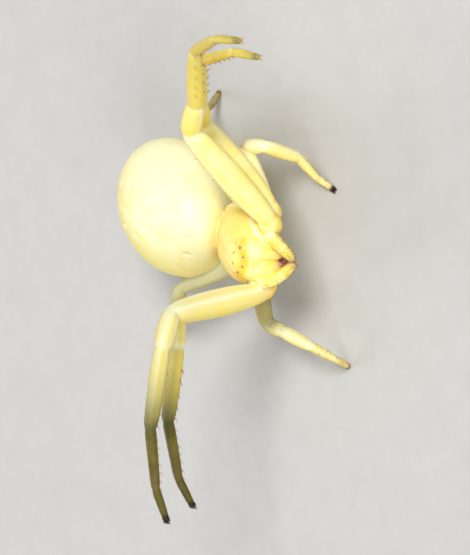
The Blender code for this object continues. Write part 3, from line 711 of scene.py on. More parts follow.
def small_forms():
    """The stalk, the mouth's lower pieces, the sternum, the carapace's corners and the spinnerets."""
    made = []
    up = BODY.to_3x3() @ Vector((0, 0, 1))
    bars = [("stalk", STALK, 1), ("labium", LABIUM, 1), ("endite", ENDITE, 1), ("endite", ENDITE, -1)]
    for name, (start, end, radii), side in bars:
        start, end = from_body(start, side), from_body(end, side)
        made.append(limb_form(Segment("body", name, start, end, radii, up)))
    made.append(small_egg("sternum", *STERNUM))
    made += [small_egg("rear_corner", *REAR_CORNER, side) for side in SIDES.values()]
    turning = ABDOMEN.to_3x3()
    for across, tilt, length, radius in SPINNERETS:
        out = turning @ Vector((0, math.cos(math.radians(tilt)), math.sin(math.radians(tilt))))
        root = abdomen_point(SPINNERET_ALONG, math.radians(-90)) + turning @ Vector((across, 0, 0))
        radii = [(share, radius * width) for share, width in SPINNERET_TAPER]
        start, end = root - out * SPINNERET_DEPTH, root + out * length
        back = turning @ Vector((0, 0, 1))
        made.append(limb_form(Segment("body", "spinneret", start, end, radii, back)))
    return made


def path_distance(points, path):
    """The distance of each point from a path of straight runs."""
    best = np.full(len(points), np.inf)
    for near, far in zip(path, path[1:]):
        near, run = np.array(near), np.array(far) - np.array(near)
        share = np.clip((points - near) @ run / (run @ run), 0, 1)
        best = np.minimum(best, np.linalg.norm(points - near - share[:, None] * run, axis=1))
    return best


def step_up(values, low, high):
    """A smooth step from 0 at low to 1 at high."""
    share = np.clip((values - low) / (high - low), 0, 1)
    return share * share * (3 - 2 * share)


def hump(distance, width):
    """A soft hump that is 1 in the middle and fades with distance."""
    return np.exp(-(distance / width) ** 2)


def local_points(points, place):
    """Points given in the frame of a placement."""
    return (points - np.array(place.translation)) @ np.array(place.to_3x3())


def folded(points):
    """Points of the body's or the abdomen's frame with the right side folded onto the left."""
    return np.concatenate([np.abs(points[:, :1]), points[:, 1:]], axis=1)


def distance_to(points, spot):
    """The distance of each point from a spot."""
    return np.linalg.norm(points - np.array(spot), axis=1)


def mesh_arrays(piece):
    """The places and the normals of a mesh's vertices."""
    places = np.empty(len(piece.data.vertices) * 3)
    normals = np.empty(len(piece.data.vertices) * 3, np.float32)
    piece.data.vertices.foreach_get("co", places)
    piece.data.vertex_normals.foreach_get("vector", normals)
    return places.reshape(-1, 3), normals.reshape(-1, 3)


def move_points(piece, places):
    """Move a mesh's vertices to new places."""
    piece.data.vertices.foreach_set("co", places.ravel())
    piece.data.update()


def form_gap(points, shape, middle):
    """How far each point lies outside a form, a function of the share of its length and the turn."""
    grid = [(0.5 - 0.5 * math.cos(math.pi * (row + 0.5) / FORM_ROWS), 2 * math.pi * step / FORM_ROWS)
            for row in range(FORM_ROWS) for step in range(FORM_ROWS)]
    corners = [shape(share, turn) for share, turn in grid]
    faces = []
    for row in range(FORM_ROWS - 1):
        for step in range(FORM_ROWS):
            near, after = row * FORM_ROWS + step, row * FORM_ROWS + (step + 1) % FORM_ROWS
            faces.append((near, after, after + FORM_ROWS, near + FORM_ROWS))
    tree = BVHTree.FromPolygons(corners, faces)
    gaps = np.empty(len(points))
    for index, point in enumerate(points):
        point = Vector(point)
        spot = tree.find_nearest(point)[0]
        away = point - spot
        gaps[index] = math.copysign(away.length, away.dot(spot - middle))
    return gaps


def body_gaps(points):
    """How far each point lies outside the carapace and outside the abdomen."""
    return (form_gap(points, carapace_point, from_body((0, 0, (CARAPACE_TOP + STERNUM_BOTTOM) / 2))),
            form_gap(points, abdomen_share, ABDOMEN @ Vector((0, 0, 0))))


def carve(skin):
    """Work grooves, rims, dimples and folds into the skin."""
    points, normals = mesh_arrays(skin)
    body, egg = local_points(points, BODY), local_points(points, ABDOMEN)
    sided = folded(body)
    carapace_gap, abdomen_gap = body_gaps(points)
    on_back = (1 - step_up(carapace_gap, *CARAPACE_FADE)) * step_up(body[:, 2], *ABOVE_EDGE)
    lift = np.zeros(len(points))
    for path, width, height in CARAPACE_STROKES:
        lift += on_back * height * hump(path_distance(sided[:, :2], path), width)
    for path, width, height in FACE_STROKES:
        lift += height * hump(path_distance(sided, path), width)
    for centre, radius in EYES.values():
        from_rim = distance_to(sided, centre) - radius * EYE_RIM_RADIUS
        lift += EYE_RIM_HEIGHT * hump(from_rim, EYE_RIM_WIDTH)
    on_abdomen = 1 - step_up(abdomen_gap, *ABDOMEN_FADE)
    above = on_abdomen * step_up(egg[:, 2], *ABDOMEN_BACK)
    for x, y, width, depth in DIMPLES:
        lift -= above * depth * hump(distance_to(folded(egg)[:, :2], (x, y)), width)
    along = egg[:, 1] / ABDOMEN_HALF_SIZES[1]
    middle = above * (1 - step_up(along, *BACK_LINE_ENDS)) * step_up(along, *BACK_LINE_BEGINS)
    lift -= middle * BACK_LINE_DEPTH * hump(egg[:, 0], BACK_LINE_WIDTH)
    rear = on_abdomen * step_up(along, *FOLDS_BEGIN)
    lift += rear * FOLD_DEPTH * np.cos(2 * math.pi * egg[:, 1] / FOLD_SPACING)
    below = on_abdomen * step_up(-egg[:, 2], *ABDOMEN_UNDERSIDE)
    furrow = egg[:, 1] - FURROW_PLACE - FURROW_BEND * egg[:, 0] ** 2
    lift -= below * FURROW_DEPTH * hump(furrow, FURROW_WIDTH)
    move_points(skin, points + normals * lift[:, None])


def limb_fields(points):
    """The nearest limb part of each point: index, share of its length, gap and facing back."""
    count = len(points)
    nearest, share_of = np.zeros(count, int), np.zeros(count)
    gap_of, back_of = np.full(count, np.inf), np.zeros(count)
    for index, segment in enumerate(LIMBS):
        start, run = np.array(segment.start), np.array(segment.end - segment.start)
        share = np.clip((points - start) @ run / (run @ run), 0, 1)
        away = points - start - share[:, None] * run
        distance = np.linalg.norm(away, axis=1)
        shares, radii = zip(*segment.radii)
        gap = distance - np.interp(share, shares, radii)
        closer = gap < gap_of
        nearest[closer], share_of[closer], gap_of[closer] = index, share[closer], gap[closer]
        facing = away @ np.array(segment.back) / np.maximum(distance, 1e-6)
        back_of[closer] = facing[closer]
    return nearest, share_of, gap_of, back_of


def make_skin():
    """One skin over the body and all limbs, as a fused and smoothed mesh."""
    forms = [
        egg_form("carapace_form", carapace_point),
        egg_form("abdomen_form", abdomen_share),
    ]
    forms += [limb_form(segment) for segment in LIMBS]
    forms += small_forms()
    skin = join("spider_skin", forms)
    apply_modifier(skin, "REMESH", mode="VOXEL", voxel_size=VOXEL)
    apply_modifier(skin, "SMOOTH", factor=0.5, iterations=SMOOTHING_PASSES)
    carve(skin)
    faces = 2 * len(skin.data.polygons)
    apply_modifier(skin, "DECIMATE", ratio=min(1.0, SKIN_FACES / faces))
    paint(skin)
    return skin


def paint(skin):
    """Write the skin's markings as values on its points, painted light and shade among them: where it is
    cream, olive and so on.
    """
    points, normals = mesh_arrays(skin)
    # Painted light: skin facing the painted light's way is painted paler, and skin turned from it is painted
    # as shaded.
    painted_light = step_up(normals @ np.array(PAINTED_LIGHT_WAY), *PAINTED_LIGHT_SPAN)
    body = local_points(points, BODY)
    sided = folded(body)
    nearest, share, limb_gap, backness = limb_fields(points)
    carapace_gap, abdomen_gap = body_gaps(points)
    on_abdomen = step_up(np.minimum(limb_gap, carapace_gap) - abdomen_gap, *ABDOMEN_EDGE)
    on_carapace = step_up(limb_gap - carapace_gap, *CARAPACE_EDGE) * (1 - on_abdomen)
    on_limb = (1 - on_abdomen) * (1 - on_carapace)
    cream_and_light, olive_and_shade, rosy, orange_and_shade, dark_and_shade = np.zeros((5, len(points)))
    for index, segment in enumerate(LIMBS):
        mine = nearest == index
        part, limb = segment.part, segment.limb
        pale, striped, warm = LIMB_PAINT[part]
        rose_start, rose_end, power = LIMB_ROSE.get(part, (0.0, 0.0, 1))
        along, facing, lit = share[mine], backness[mine], painted_light[mine]
        stripe = striped * (step_up(facing, *STRIPE_TOP) + hump(facing - STRIPE_BORDER[0], STRIPE_BORDER[1]))
        joint = hump(along - 1, JOINT_WIDTHS[1]) + hump(along, JOINT_WIDTHS[0])
        creamy = pale + JOINT_CREAM * joint + HIND_CREAM * (limb[-1] in "34")
        # Painted light and shade: a limb keeps all its cream where it faces the painted light and less on
        # its shaded side, which also gets painted shade orange.
        cream_and_light[mine] = creamy * (SHADED_CREAM + (1 - SHADED_CREAM) * lit) + stripe
        shaded = BASE_SHADE_ORANGE if part in ("coxa", "trochanter") else SHADED_ORANGE
        orange_and_shade[mine] = warm * (1 - STRIPE_COVER * stripe) + shaded * (1 - lit)
        rosy[mine] = rose_start + (rose_end - rose_start) * along ** power
        if part in LEG_PARTS:
            side, pair = limb.split("_")[1:]
            place = LEG_PARTS.index(part)
            # Olive along the leg: partly its own olive brown and partly painted shade on the legs that lie
            # in shade.
            near, far = OLIVE_AND_SHADE_ALONG[(side, int(pair))][place:place + 2]
            olive_and_shade[mine] = near + (far - near) * along ** OLIVE_POWER
        if part == "palp_tarsus":
            # Painted shade on the inner sides of the palps' ends, where the two meet.
            inner_shade = step_up(-facing, *PALP_INNER_SHADE[0]) * step_up(along, *PALP_INNER_SHADE[1])
            dark_and_shade[mine] = PALP_DARKNESS * (step_up(along, *PALP_END) + inner_shade)
        if part == "tarsus":
            rosy[mine] *= limb[-1] in "34"
            dark_and_shade[mine] = step_up(along, *FOOT_DARKENS) * (1.0 if limb in BLACK_FEET else BROWN_DARKNESS)
        if part == "metatarsus" and limb in ("leg_left_1", "leg_left_2"):
            rosy[mine] = SHANK_ROSE * step_up(-facing, *SHANK_INNER)
        if part == "patella" and limb == "leg_left_3":
            rosy[mine] = KNEE_ROSE[0] * hump(along, KNEE_ROSE[1])
    cream_and_light, orange_and_shade = cream_and_light * on_limb, orange_and_shade * on_limb
    streak = hump(path_distance(sided, STREAK), STREAK_WIDTH)
    band = hump(path_distance(sided, FACE_BAND), FACE_BAND_WIDTH)
    upper = step_up(body[:, 2], *BACK_LEVELS)
    cream_and_light += on_carapace * (CARAPACE_CREAM + BACK_CREAM * upper + streak + FACE_CREAM * band)
    tinted = CARAPACE_ORANGE - REAR_PALENESS * step_up(body[:, 1], *REAR_SPAN)
    tinted = tinted + hump(path_distance(sided, EYE_LINE), EYE_LINE_WIDTH)
    orange_and_shade += on_carapace * tinted * (1 - step_up(streak, *STREAK_COVER))
    for centre, radius in EYES.values():
        rosy += EYE_ROSE * hump(distance_to(sided, centre) - radius, EYE_ROSE_WIDTH) * on_carapace
    # Painted light on the abdomen where it faces the light; painted shade orange on its side turned away and
    # in the crease at the carapace.
    cream_and_light += on_abdomen * (ABDOMEN_CREAM + (1 - ABDOMEN_CREAM) * painted_light)
    crease_shade = CREASE_SHADE_ORANGE * hump(carapace_gap, CREASE_WIDTH)
    orange_and_shade += on_abdomen * (ABDOMEN_SHADE_ORANGE * (1 - painted_light) + crease_shade)
    # Painted light along the seam at the legs' bases, which also takes away most of the painted shade orange
    # there.
    seam = hump(limb_gap - carapace_gap, SEAM_WIDTH) * (1 - on_abdomen)
    cream_and_light += SEAM_LIGHT * seam
    orange_and_shade *= 1 - SEAM_COVER * seam
    for name, values in zip(MARKS, (cream_and_light, olive_and_shade * on_limb, rosy, orange_and_shade, dark_and_shade, on_abdomen)):
        write_marks(skin.data, name, np.clip(values, 0, 1))


def write_marks(mesh, name, values):
    """Keep one value for each point of a mesh, under a name that materials read."""
    marks = mesh.attributes.new(name, "FLOAT", "POINT")
    marks.data.foreach_set("value", values.astype(np.float32))


def feed(tree, socket, value):
    """Give an input a number, a colour or the output of another node."""
    if isinstance(value, bpy.types.NodeSocket):
        tree.links.new(value, socket)
    else:
        socket.default_value = (*value, 1.0) if socket.type == "RGBA" else value


def add_node(tree, kind, **settings):
    """A node of a kind, with its own settings and with what its inputs are given by name."""
    made = tree.nodes.new("ShaderNode" + kind)
    for key, value in settings.items():
        label = key.replace("_", " ")
        if label in made.inputs:
            feed(tree, made.inputs[label], value)
        else:
            setattr(made, key, value)
    return made


def new_group(name, inputs, outputs):
    """An empty node group with float inputs and outputs, and its object coordinates in mm."""
    tree = bpy.data.node_groups.new(name, "ShaderNodeTree")
    for label, value in inputs.items():
        tree.interface.new_socket(label, in_out="INPUT", socket_type="NodeSocketFloat").default_value = value
    for label in outputs:
        tree.interface.new_socket(label, in_out="OUTPUT", socket_type="NodeSocketFloat")
    given, out = tree.nodes.new("NodeGroupInput"), tree.nodes.new("NodeGroupOutput")
    place = add_node(tree, "TexCoord").outputs["Object"]
    to_mm = add_node(tree, "Mapping", Vector=place, Scale=(1 / MM, 1 / MM, 1 / MM))
    return tree, given.outputs, out.inputs, to_mm.outputs["Vector"]


def make_speckle_group():
    """Fine pale grains and soft blotches under the skin, as two masks on object coordinates."""
    tree, given, out, place = new_group("speckle", {"Grains": 9.0, "Blotches": 1.6}, ("Grain", "Blotch"))
    grains = add_node(tree, "TexVoronoi", feature="F1", Randomness=0.9, Vector=place,
                      Scale=given["Grains"])
    clouds = add_node(tree, "TexNoise", Detail=4.0, Roughness=0.55, Vector=place,
                      Scale=given["Blotches"])
    for name, pattern, low, high in (("Grain", grains.outputs["Distance"], 0.62, 0.18),
                                     ("Blotch", clouds.outputs["Fac"], 0.38, 0.64)):
        mask = add_node(tree, "MapRange", interpolation_type="SMOOTHSTEP", Value=pattern,
                        From_Min=low, From_Max=high)
        feed(tree, out[name], mask.outputs["Result"])
    return tree


def make_relief_group():
    """The fine relief of cuticle: a height of pores and creases on object coordinates."""
    tree, given, out, place = new_group("fine_relief", {"Creases": 7.0, "Pores": 26.0, "Pore Depth": 0.35},
                                        ("Height",))
    creases = add_node(tree, "TexNoise", Detail=5.0, Roughness=0.6, Vector=place,
                       Scale=given["Creases"])
    pores = add_node(tree, "TexVoronoi", feature="SMOOTH_F1", Smoothness=0.4, Vector=place,
                     Scale=given["Pores"])
    deep = combine_values(tree, "MULTIPLY", pores.outputs["Distance"], given["Pore Depth"], False)
    feed(tree, out["Height"], combine_values(tree, "ADD", creases.outputs["Fac"], deep, False))
    return tree


def new_material(name, settings):
    """A material with one Principled shader; its constant values are set on its own sockets."""
    made = bpy.data.materials.new(name)
    made.use_nodes = True
    shader = made.node_tree.nodes["Principled BSDF"]
    for label, value in settings.items():
        shader.inputs[label].default_value = value
    return made, made.node_tree, shader.inputs


def mark(tree, name):
    """The value of one of the painted markings."""
    return add_node(tree, "Attribute", attribute_name=name).outputs["Fac"]


def blend_colour(tree, factor, under, over):
    """Two colours blended by a factor; each colour is a socket or a fixed colour."""
    mix = add_node(tree, "Mix", data_type="RGBA", Factor=factor)
    feed(tree, mix.inputs[6], under)
    feed(tree, mix.inputs[7], over)
    return mix.outputs[2]


def combine_values(tree, operation, first, second, clamp=True):
    """One sum or product of two values; each is a socket or a number."""
    made = add_node(tree, "Math", operation=operation, use_clamp=clamp)
    feed(tree, made.inputs[0], first)
    feed(tree, made.inputs[1], second)
    return made.outputs["Value"]


def marked_colour(tree, speckle, palette):
    """The colour of the markings, clouded and grained, from the palette's six colours."""
    yellow, pale, warm, olive_and_shade, rose, dark = palette
    spots = add_node(tree, "Group", node_tree=speckle, Grains=10.0, Blotches=1.5).outputs
    loose = combine_values(tree, "MULTIPLY", spots["Grain"], GRAIN_STRENGTH)
    grain = combine_values(tree, "MULTIPLY", loose, mark(tree, "abdomen"))
    cloud = combine_values(tree, "MULTIPLY", spots["Blotch"], CLOUD_STRENGTH)
    cream_and_light = combine_values(tree, "ADD", mark(tree, "cream_and_light"), grain)
    cream_and_light = combine_values(tree, "SUBTRACT", cream_and_light, cloud)
    colour = blend_colour(tree, cream_and_light, yellow, pale)
    colour = blend_colour(tree, mark(tree, "orange_and_shade"), colour, warm)
    patchy = combine_values(tree, "MULTIPLY", spots["Blotch"], PATCH_STRENGTH)
    patched = combine_values(tree, "SUBTRACT", mark(tree, "olive_and_shade"), patchy)
    colour = blend_colour(tree, patched, colour, olive_and_shade)
    colour = blend_colour(tree, mark(tree, "rosy"), colour, rose)
    return blend_colour(tree, mark(tree, "dark_and_shade"), colour, dark)


def add_relief(tree, shader, relief, creases, pores, strength, distance):
    """Fine relief on a material; gives its heights."""
    heights = add_node(tree, "Group", node_tree=relief, Creases=creases, Pores=pores).outputs["Height"]
    bump = add_node(tree, "Bump", Strength=strength, Distance=distance, Height=heights)
    feed(tree, shader["Normal"], bump.outputs["Normal"])
    return heights


def make_skin_material(speckle, relief):
    """Soft cuticle in the colours of the markings, painted light and shade among them, duller where it is
    marked olive or dark.
    """
    made, tree, shader = new_material("cuticle", {
        "Roughness": 0.4, "Subsurface Weight": 0.35, "Subsurface Scale": 0.28 * MM,
        "Subsurface Radius": (0.6, 0.5, 0.25), "Coat Weight": 0.06, "Coat Roughness": 0.3})
    feed(tree, shader["Base Color"], marked_colour(tree, speckle, PALETTE))
    shine = SKIN_SHINE
    for marking in ("olive_and_shade", "dark_and_shade"):
        duller = combine_values(tree, "MULTIPLY", mark(tree, marking), -DULLNESS, False)
        shine = combine_values(tree, "ADD", duller, shine, False)
    feed(tree, shader["Specular IOR Level"], combine_values(tree, "MAXIMUM", shine, LEAST_SHINE))
    add_relief(tree, shader, relief, creases=6.0, pores=24.0, strength=0.5, distance=0.03 * MM)
    return made


def make_hair_material(speckle):
    """Fine hairs, a little paler than the skin that they stand on."""
    made, tree, shader = new_material("hair", {"Roughness": 0.45})
    palette = [tuple(min(1.0, part * HAIR_BRIGHTNESS) for part in colour) for colour in PALETTE]
    feed(tree, shader["Base Color"], marked_colour(tree, speckle, palette))
    return made


def make_small_material(name, relief, colour, tint, settings):
    """A finish for small hard pieces: two near colours in streaks, with fine relief."""
    made, tree, shader = new_material(name, settings)
    heights = add_relief(tree, shader, relief, creases=8.0, pores=30.0, strength=0.25, distance=0.01 * MM)
    feed(tree, shader["Base Color"], blend_colour(tree, heights, colour, tint))
    return made


def make_floor_material(relief):
    """Plain matt paper, faintly mottled."""
    made, tree, shader = new_material("floor", {"Roughness": 0.85, "Specular IOR Level": 0.2})
    heights = add_node(tree, "Group", node_tree=relief, Creases=0.6, Pores=2.0).outputs["Height"]
    feed(tree, shader["Base Color"], blend_colour(tree, heights, FLOOR_PALE, FLOOR_GREY))
    return made


def make_finishes():
    """Every material of the spider and its floor."""
    speckle, relief = make_speckle_group(), make_relief_group()
    finishes = {"skin": make_skin_material(speckle, relief), "hair": make_hair_material(speckle)}
    for name, (colour, tint, settings) in SMALL_FINISHES.items():
        finishes[name] = make_small_material(name, relief, colour, tint, settings)
    finishes["floor"] = make_floor_material(relief)
    return finishes


def make_eye(side, name):
    """One lens: a globe flattened a little, with the part inside the head cut away."""
    centre, radius = EYES[name]
    centre = from_body(centre, SIDES[side])
    out = (centre - from_body(HEAD_MIDDLE)).normalized()
    bpy.ops.object.select_all(action="DESELECT")
    bpy.ops.mesh.primitive_uv_sphere_add(segments=32, ring_count=20, radius=radius)
    piece = bpy.context.object
    piece.name = "{}_{}_lens".format(name, side)
    bpy.ops.object.mode_set(mode="EDIT")
    bpy.ops.mesh.select_all(action="SELECT")
    bpy.ops.transform.resize(value=(1, 1, LENS_FLATNESS), center_override=(0, 0, 0))
    bpy.ops.mesh.bisect(plane_co=(0, 0, -LENS_CUT * radius), plane_no=(0, 0, 1), clear_inner=True,
                        use_fill=True)
    bpy.ops.mesh.select_all(action="SELECT")
    bpy.ops.mesh.normals_make_consistent(inside=False)
    bpy.ops.object.mode_set(mode="OBJECT")
    across = out.orthogonal().normalized()
    turn = Matrix((across, out.cross(across), out)).transposed().to_4x4()
    piece.data.transform(Matrix.Translation(centre) @ turn)
    return piece


def hook(name, length, radius, curl, place):
    """A tapered hook: drawn out straight, bent by a curl in degrees and set at a place."""
    stations = []
    for step in range(HOOK_STEPS + 1):
        share = step / HOOK_STEPS
        size = radius * (1 - share ** HOOK_TAPER) + HOOK_TIP
        stations.append((share * length, size, size))
    piece = loft(name, stations, Matrix.Identity(4), HOOK_SIDES)
    apply_modifier(piece, "SIMPLE_DEFORM", deform_method="BEND", deform_axis="X", angle=math.radians(curl))
    piece.data.transform(place)
    return piece


def make_fang(side):
    """One fang, curved inwards from the end of its jaw."""
    sign, turning = SIDES[side], BODY.to_3x3()
    root = from_body(FANG_ROOT, sign)
    along = turning @ Vector((FANG_WAY[0] * sign, FANG_WAY[1], FANG_WAY[2]))
    inward = turning @ Vector((-sign, 0, 0))
    return hook("fang_{}_hook".format(side), *FANG, place_along(root, root + along, inward))


def make_claws(name, black):
    """Hooks: two on each black foot, or two on each other foot and one on each palp."""
    made = []
    for foot in feet(black):
        along = (foot.end - foot.start).normalized()
        under = (Vector((0, 0, -1)) + along * along.z).normalized()
        across = along.cross(under)
        for claw in (-1, 1):
            out = along + across * (claw * CLAW_SPLAY) - under * CLAW_LIFT
            root = foot.end + across * (claw * CLAW_GAP)
            made.append(hook("claw", *FOOT_CLAW, place_along(root, root + out, under)))
    for palp in [] if black else PALPS.values():
        tip = palp[-1]
        made.append(hook("claw", *PALP_CLAW, place_along(tip.end, tip.end * 2 - tip.start, -tip.back)))
    return join(name, made)


def atlas_place(cell, share, turn):
    """Where a root lies on the unwrapped skin: limb parts and body each have a cell."""
    width = 1 - 2 * CELL_MARGIN
    across = cell % ATLAS_CELLS + CELL_MARGIN + width * share
    return across / ATLAS_CELLS, (cell // ATLAS_CELLS + CELL_MARGIN + width * turn) / ATLAS_CELLS


class Coat:
    """Tapered bristles gathered into one mesh, each rooted in the skin and marked as it is there."""

    def __init__(self, name, skin, skin_tree, sides, seed):
        self.name, self.skin, self.skin_tree, self.sides = name, skin, skin_tree, sides
        self.random = random.Random(seed)
        self.points, self.faces, self.patches, self.roots = [], [], [], []
        self.root_face = 0

    def root(self, guess, out, reach):
        """The spot on the skin nearest a guess, if it faces the right way."""
        spot, normal, self.root_face, _ = self.skin_tree.find_nearest(guess, reach)
        if spot is None or normal.dot(out) < LEAST_FACING:
            return None, None
        return spot, normal

    def add(self, root, normal, lean, length, radius, sag, patch):
        """One bristle from a root: it leaves along lean and sags towards sag at its tip."""
        along = lean.normalized()
        across = along.orthogonal().normalized()
        up = along.cross(across)
        base = root - normal * (2 * radius)
        first = len(self.points)
        for share, width in BRISTLE_WIDTHS:
            centre = base + along * (length * share) + sag * (length * share * share)
            for step in range(self.sides):
                turn = 2 * math.pi * step / self.sides
                out = across * math.cos(turn) + up * math.sin(turn)
                self.points.append(centre + out * (radius * width))
        self.points.append(base + along * length + sag * length)
        tip = len(self.points) - 1
        for step in range(self.sides):
            low, low_after = first + step, first + (step + 1) % self.sides
            high, high_after = low + self.sides, low_after + self.sides
            self.faces += [(low, low_after, high_after, high), (high, high_after, tip)]
        self.faces.append(tuple(first + step for step in reversed(range(self.sides))))
        self.patches.append((first, tip, patch))
        self.roots.append(self.skin.polygons[self.root_face].vertices[0])

    def add_on_limb(self, segment, share, turn, reach, draw):
        """One bristle on a limb part; draw gives its tilt, sway, length, radius and sag."""
        run = segment.end - segment.start
        along = run.normalized()
        across = along.cross(segment.back)
        out = segment.back * math.cos(turn) + across * math.sin(turn)
        width = np.interp(share, *zip(*segment.radii))
        spot, normal = self.root(segment.start + run * share + out * width, out, reach)
        if spot is not None:
            tilt, sway, length, radius, sag = draw()
            lean = along * math.cos(tilt) + out * math.sin(tilt) + across * sway
            patch = atlas_place(LIMBS.index(segment), share, turn / (2 * math.pi) % 1)
            self.add(spot, normal, lean, length, radius, along * sag, patch)

    def on_limb(self, segment, count, length, radius, rise, shares=(0.0, 1.0), spread=180.0):
        """Scatter bristles on a limb part, up to a spread in degrees round from its back."""
        draw = self.random.uniform
        for _ in range(count):
            share, turn = draw(*shares), math.radians(draw(-spread, spread))
            self.add_on_limb(segment, share, turn, LIMB_REACH, lambda: (
                math.radians(rise * draw(*RISES)), draw(*SWAYS), length * draw(*LIMB_SIZES),
                radius, LIMB_SAG))

    def on_form(self, cell, shape, middle, lie, count, length, radius, rise,
                shares=(0.05, 0.95), turns=(0.0, 1.0)):
        """Scatter bristles on a body form, a function of share and turn, leaning along lie."""
        draw = self.random.uniform
        for _ in range(count):
            share, turn = draw(*shares), draw(*turns)
            guess = shape(share, 2 * math.pi * turn)
            spot, normal = self.root(guess, (guess - middle).normalized(), BODY_REACH)
            if spot is None:
                continue
            tilt = math.radians(rise * draw(*RISES))
            flow = (lie - normal * lie.dot(normal)).normalized()
            lean = flow * math.cos(tilt) + normal * math.sin(tilt)
            patch = atlas_place(cell, share, turn)
            self.add(spot, normal, lean, length * draw(*BODY_SIZES), radius, flow * BODY_SAG, patch)

    def finish(self):
        """The joined mesh, with each bristle's patch on the map that finishes are baked to."""
        mesh = bpy.data.meshes.new(self.name)
        mesh.from_pydata([tuple(point) for point in self.points], [], self.faces)
        places = np.zeros((len(self.points), 2))
        for first, tip, (u, v) in self.patches:
            for index in range(first, tip):
                turn = 2 * math.pi * (index - first) / self.sides
                size = PATCH_SIZE / 2 if index - first < self.sides else PATCH_SIZE / 4
                places[index] = (u + size * math.cos(turn), v + size * math.sin(turn))
            places[tip] = (u, v)
        layer = mesh.uv_layers.new(name="OFBake")
        corners = np.empty(len(mesh.loops), int)
        mesh.loops.foreach_get("vertex_index", corners)
        layer.data.foreach_set("uv", places[corners].astype(np.float32).ravel())
        roots = np.repeat(self.roots, 2 * self.sides + 1)
        values = np.empty(len(self.skin.vertices), np.float32)
        for name in MARKS:
            self.skin.attributes[name].data.foreach_get("value", values)
            write_marks(mesh, name, values[roots])
        return add_to_scene(self.name, mesh)


def make_spines(skin, skin_tree):
    """The paired rows of spines under the long front legs, and a few on the backs of their femora."""
    coat = Coat("leg_spines", skin, skin_tree, sides=6, seed=11)
    draw = coat.random.uniform
    stray, tilting = SPINE_STRAY
    front = [segment for (_, pair), leg in LEGS.items() if pair < 3 for segment in leg]
    for segment in front:
        if segment.part not in SPINE_ROWS:
            continue
        count, length, radius, facing, spread, (near, far) = SPINE_ROWS[segment.part]
        for row in (-1, 1):
            turn = math.radians(facing + row * spread)
            for step in range(count):
                share = near + (far - near) * step / (count - 1) + draw(-stray, stray)
                coat.add_on_limb(segment, share, turn, SPINE_REACH, lambda: (
                    math.radians(SPINE_RISE + draw(-tilting, tilting)), 0, length * draw(*SPINE_SIZES),
                    radius, SPINE_SAG))
    return coat.finish()


def make_bristles(skin, skin_tree):
    """Dark bristles: on the palps, feet and shanks, along the face and sparsely on the back."""
    coat = Coat("dark_bristles", skin, skin_tree, sides=4, seed=23)
    for segment in LIMBS:
        if segment.part in DARK_BRISTLES:
            coat.on_limb(segment, *DARK_BRISTLES[segment.part])
    forward = BODY.to_3x3() @ Vector((0, -1, 0.25))
    middle = from_body(BODY_MIDDLE)
    for x, y, z, length in FACE_BRISTLES:
        for side in SIDES.values():
            guess = from_body((x, y, z), side)
            spot, normal = coat.root(guess, (guess - middle).normalized(), FACE_REACH)
            if spot is not None:
                patch = atlas_place(len(LIMBS), 0.5 + 0.2 * side * x, 0.5 + 0.2 * z)
                lean = normal + forward * FACE_BRISTLE_LEAN
                coat.add(spot, normal, lean, length, FACE_BRISTLE_RADIUS, forward * BODY_SAG, patch)
    coat.on_form(len(LIMBS), carapace_point, middle, forward, *BACK_BRISTLES)
    return coat.finish()


def make_hairs(skin, skin_tree):
    """Fine pale hairs all over the legs, body and abdomen."""
    coat = Coat("pale_hairs", skin, skin_tree, sides=3, seed=37)
    for segment in LIMBS:
        length = (segment.end - segment.start).length
        widest = max(radius for _, radius in segment.radii)
        count = int(LIMB_HAIRS_PER_MM2 * length * widest * 2 * math.pi)
        coat.on_limb(segment, count, *LIMB_HAIRS)
    forward = BODY.to_3x3() @ Vector((0, -1, 0))
    back = ABDOMEN.to_3x3() @ Vector((0, 1, 0))
    coat.on_form(len(LIMBS), carapace_point, from_body(BODY_MIDDLE), forward, *CARAPACE_HAIRS)
    coat.on_form(len(LIMBS) + 1, abdomen_share, ABDOMEN @ Vector((0, 0, 0)), back, *ABDOMEN_HAIRS)
    return coat.finish()


def make_tufts(skin, skin_tree, name, black):
    """The brush under the claws of the black feet, or the thinner one of the other feet."""
    coat = Coat(name, skin, skin_tree, sides=3, seed=51)
    for foot in feet(black):
        coat.on_limb(foot, *(BLACK_BRUSH if black else BROWN_BRUSH))
    return coat.finish()


def flatten_below(piece):
    """Press whatever would pass the ground flat against it."""
    places = mesh_arrays(piece)[0]
    places[:, 2] = np.maximum(places[:, 2], 0)
    move_points(piece, places)


def finish_piece(piece, material, replaced=()):
    """Move a finished piece into the frame, dress it and hang it on the body."""
    piece.data.transform(TO_FRAME)
    flatten_below(piece)
    piece.data.materials.clear()
    piece.data.materials.append(material)
    piece.data.shade_smooth()
    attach(piece, "root")
    if replaced:
        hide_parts(*replaced)


def add_to_scene(name, data):
    """A new object in the scene."""
    made = bpy.data.objects.new(name, data)
    bpy.context.scene.collection.objects.link(made)
    return made


def set_camera():
    """The photograph's view, with the camera rolled so that the spider stands on the floor."""
    right, up = Vector(VIEW_RIGHT).normalized(), Vector(VIEW_UP)
    up = (up - right * up.dot(right)).normalized()
    toward = right.cross(up)
    place = Vector(VIEW_SPOT) + toward * CAMERA_DISTANCE
    place -= right * ((SPOT_PIXEL[0] - IMAGE_SIZE[0] / 2) / PIXELS_PER_MM)
    place += up * ((SPOT_PIXEL[1] - IMAGE_SIZE[1] / 2) / PIXELS_PER_MM)
    lens = bpy.data.cameras.new("camera")
    lens.sensor_width = SENSOR
    lens.lens = PIXELS_PER_MM * CAMERA_DISTANCE / max(IMAGE_SIZE) * SENSOR
    lens.clip_start = CLIP_START
    camera = add_to_scene("camera", lens)
    turn = Matrix((right, up, toward)).transposed().to_4x4()
    camera.matrix_world = Matrix.Translation(TO_FRAME @ place) @ turn
    bpy.context.scene.camera = camera


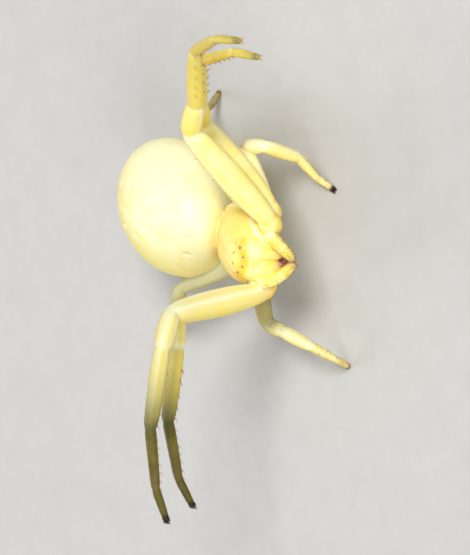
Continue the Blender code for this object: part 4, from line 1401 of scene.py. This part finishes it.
def set_lights():
    """Soft studio light: a large key, a broad fill, a low rim and a pale surround."""
    target = Vector(LIT_SPOT) * MM
    for name, (way, distance, size, power, colour) in LAMPS.items():
        lamp = bpy.data.lights.new(name, "AREA")
        lamp.shape, lamp.size, lamp.energy, lamp.color = "DISK", size, power, colour
        holder = add_to_scene(name, lamp)
        away = Vector(way).normalized()
        holder.location = target + away * distance
        holder.rotation_euler = away.to_track_quat("Z", "Y").to_euler()
    world = bpy.data.worlds.new("surround")
    bpy.context.scene.world = world
    world.use_nodes = True
    sky = world.node_tree.nodes["Background"]
    sky.inputs["Color"].default_value = (*SURROUND_COLOUR, 1.0)
    sky.inputs["Strength"].default_value = SURROUND_STRENGTH
    bpy.context.scene.view_settings.view_transform = "Standard"


def make_floor(material):
    """A plain pale floor."""
    bpy.ops.object.select_all(action="DESELECT")
    bpy.ops.mesh.primitive_plane_add(size=FLOOR_SIZE)
    floor = bpy.context.object
    floor.name = "floor"
    floor.data.materials.append(material)


def main():
    """Build, dress and light the spider."""
    finishes = make_finishes()
    skin = make_skin()
    skin_tree = BVHTree.FromObject(skin, bpy.context.evaluated_depsgraph_get())
    coats = (
        (make_spines(skin.data, skin_tree), "spine", "foot_amber"),
        (make_bristles(skin.data, skin_tree), "bristle", "foot_amber"),
        (make_hairs(skin.data, skin_tree), "hair", "leg_yellow"),
        (make_tufts(skin.data, skin_tree, "black_tufts", True), "tuft", "foot_amber"),
        (make_tufts(skin.data, skin_tree, "brown_tufts", False), "bristle", "foot_amber"),
    )
    for piece, finish, slot in coats:
        finish_piece(piece, finishes[finish], ())
    for side in SIDES:
        for name in EYES:
            finish_piece(make_eye(side, name), finishes["lens"], ["{}_{}".format(name, side)])
        finish_piece(make_fang(side), finishes["fang"], ["fang_" + side])
    finish_piece(make_claws("black_claws", True), finishes["claw"], ())
    finish_piece(make_claws("brown_claws", False), finishes["spine"], ())
    flesh = [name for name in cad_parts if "eye" not in name and "fang" not in name]
    finish_piece(skin, finishes["skin"], flesh)
    make_floor(finishes["floor"])
    set_camera()
    set_lights()


main()
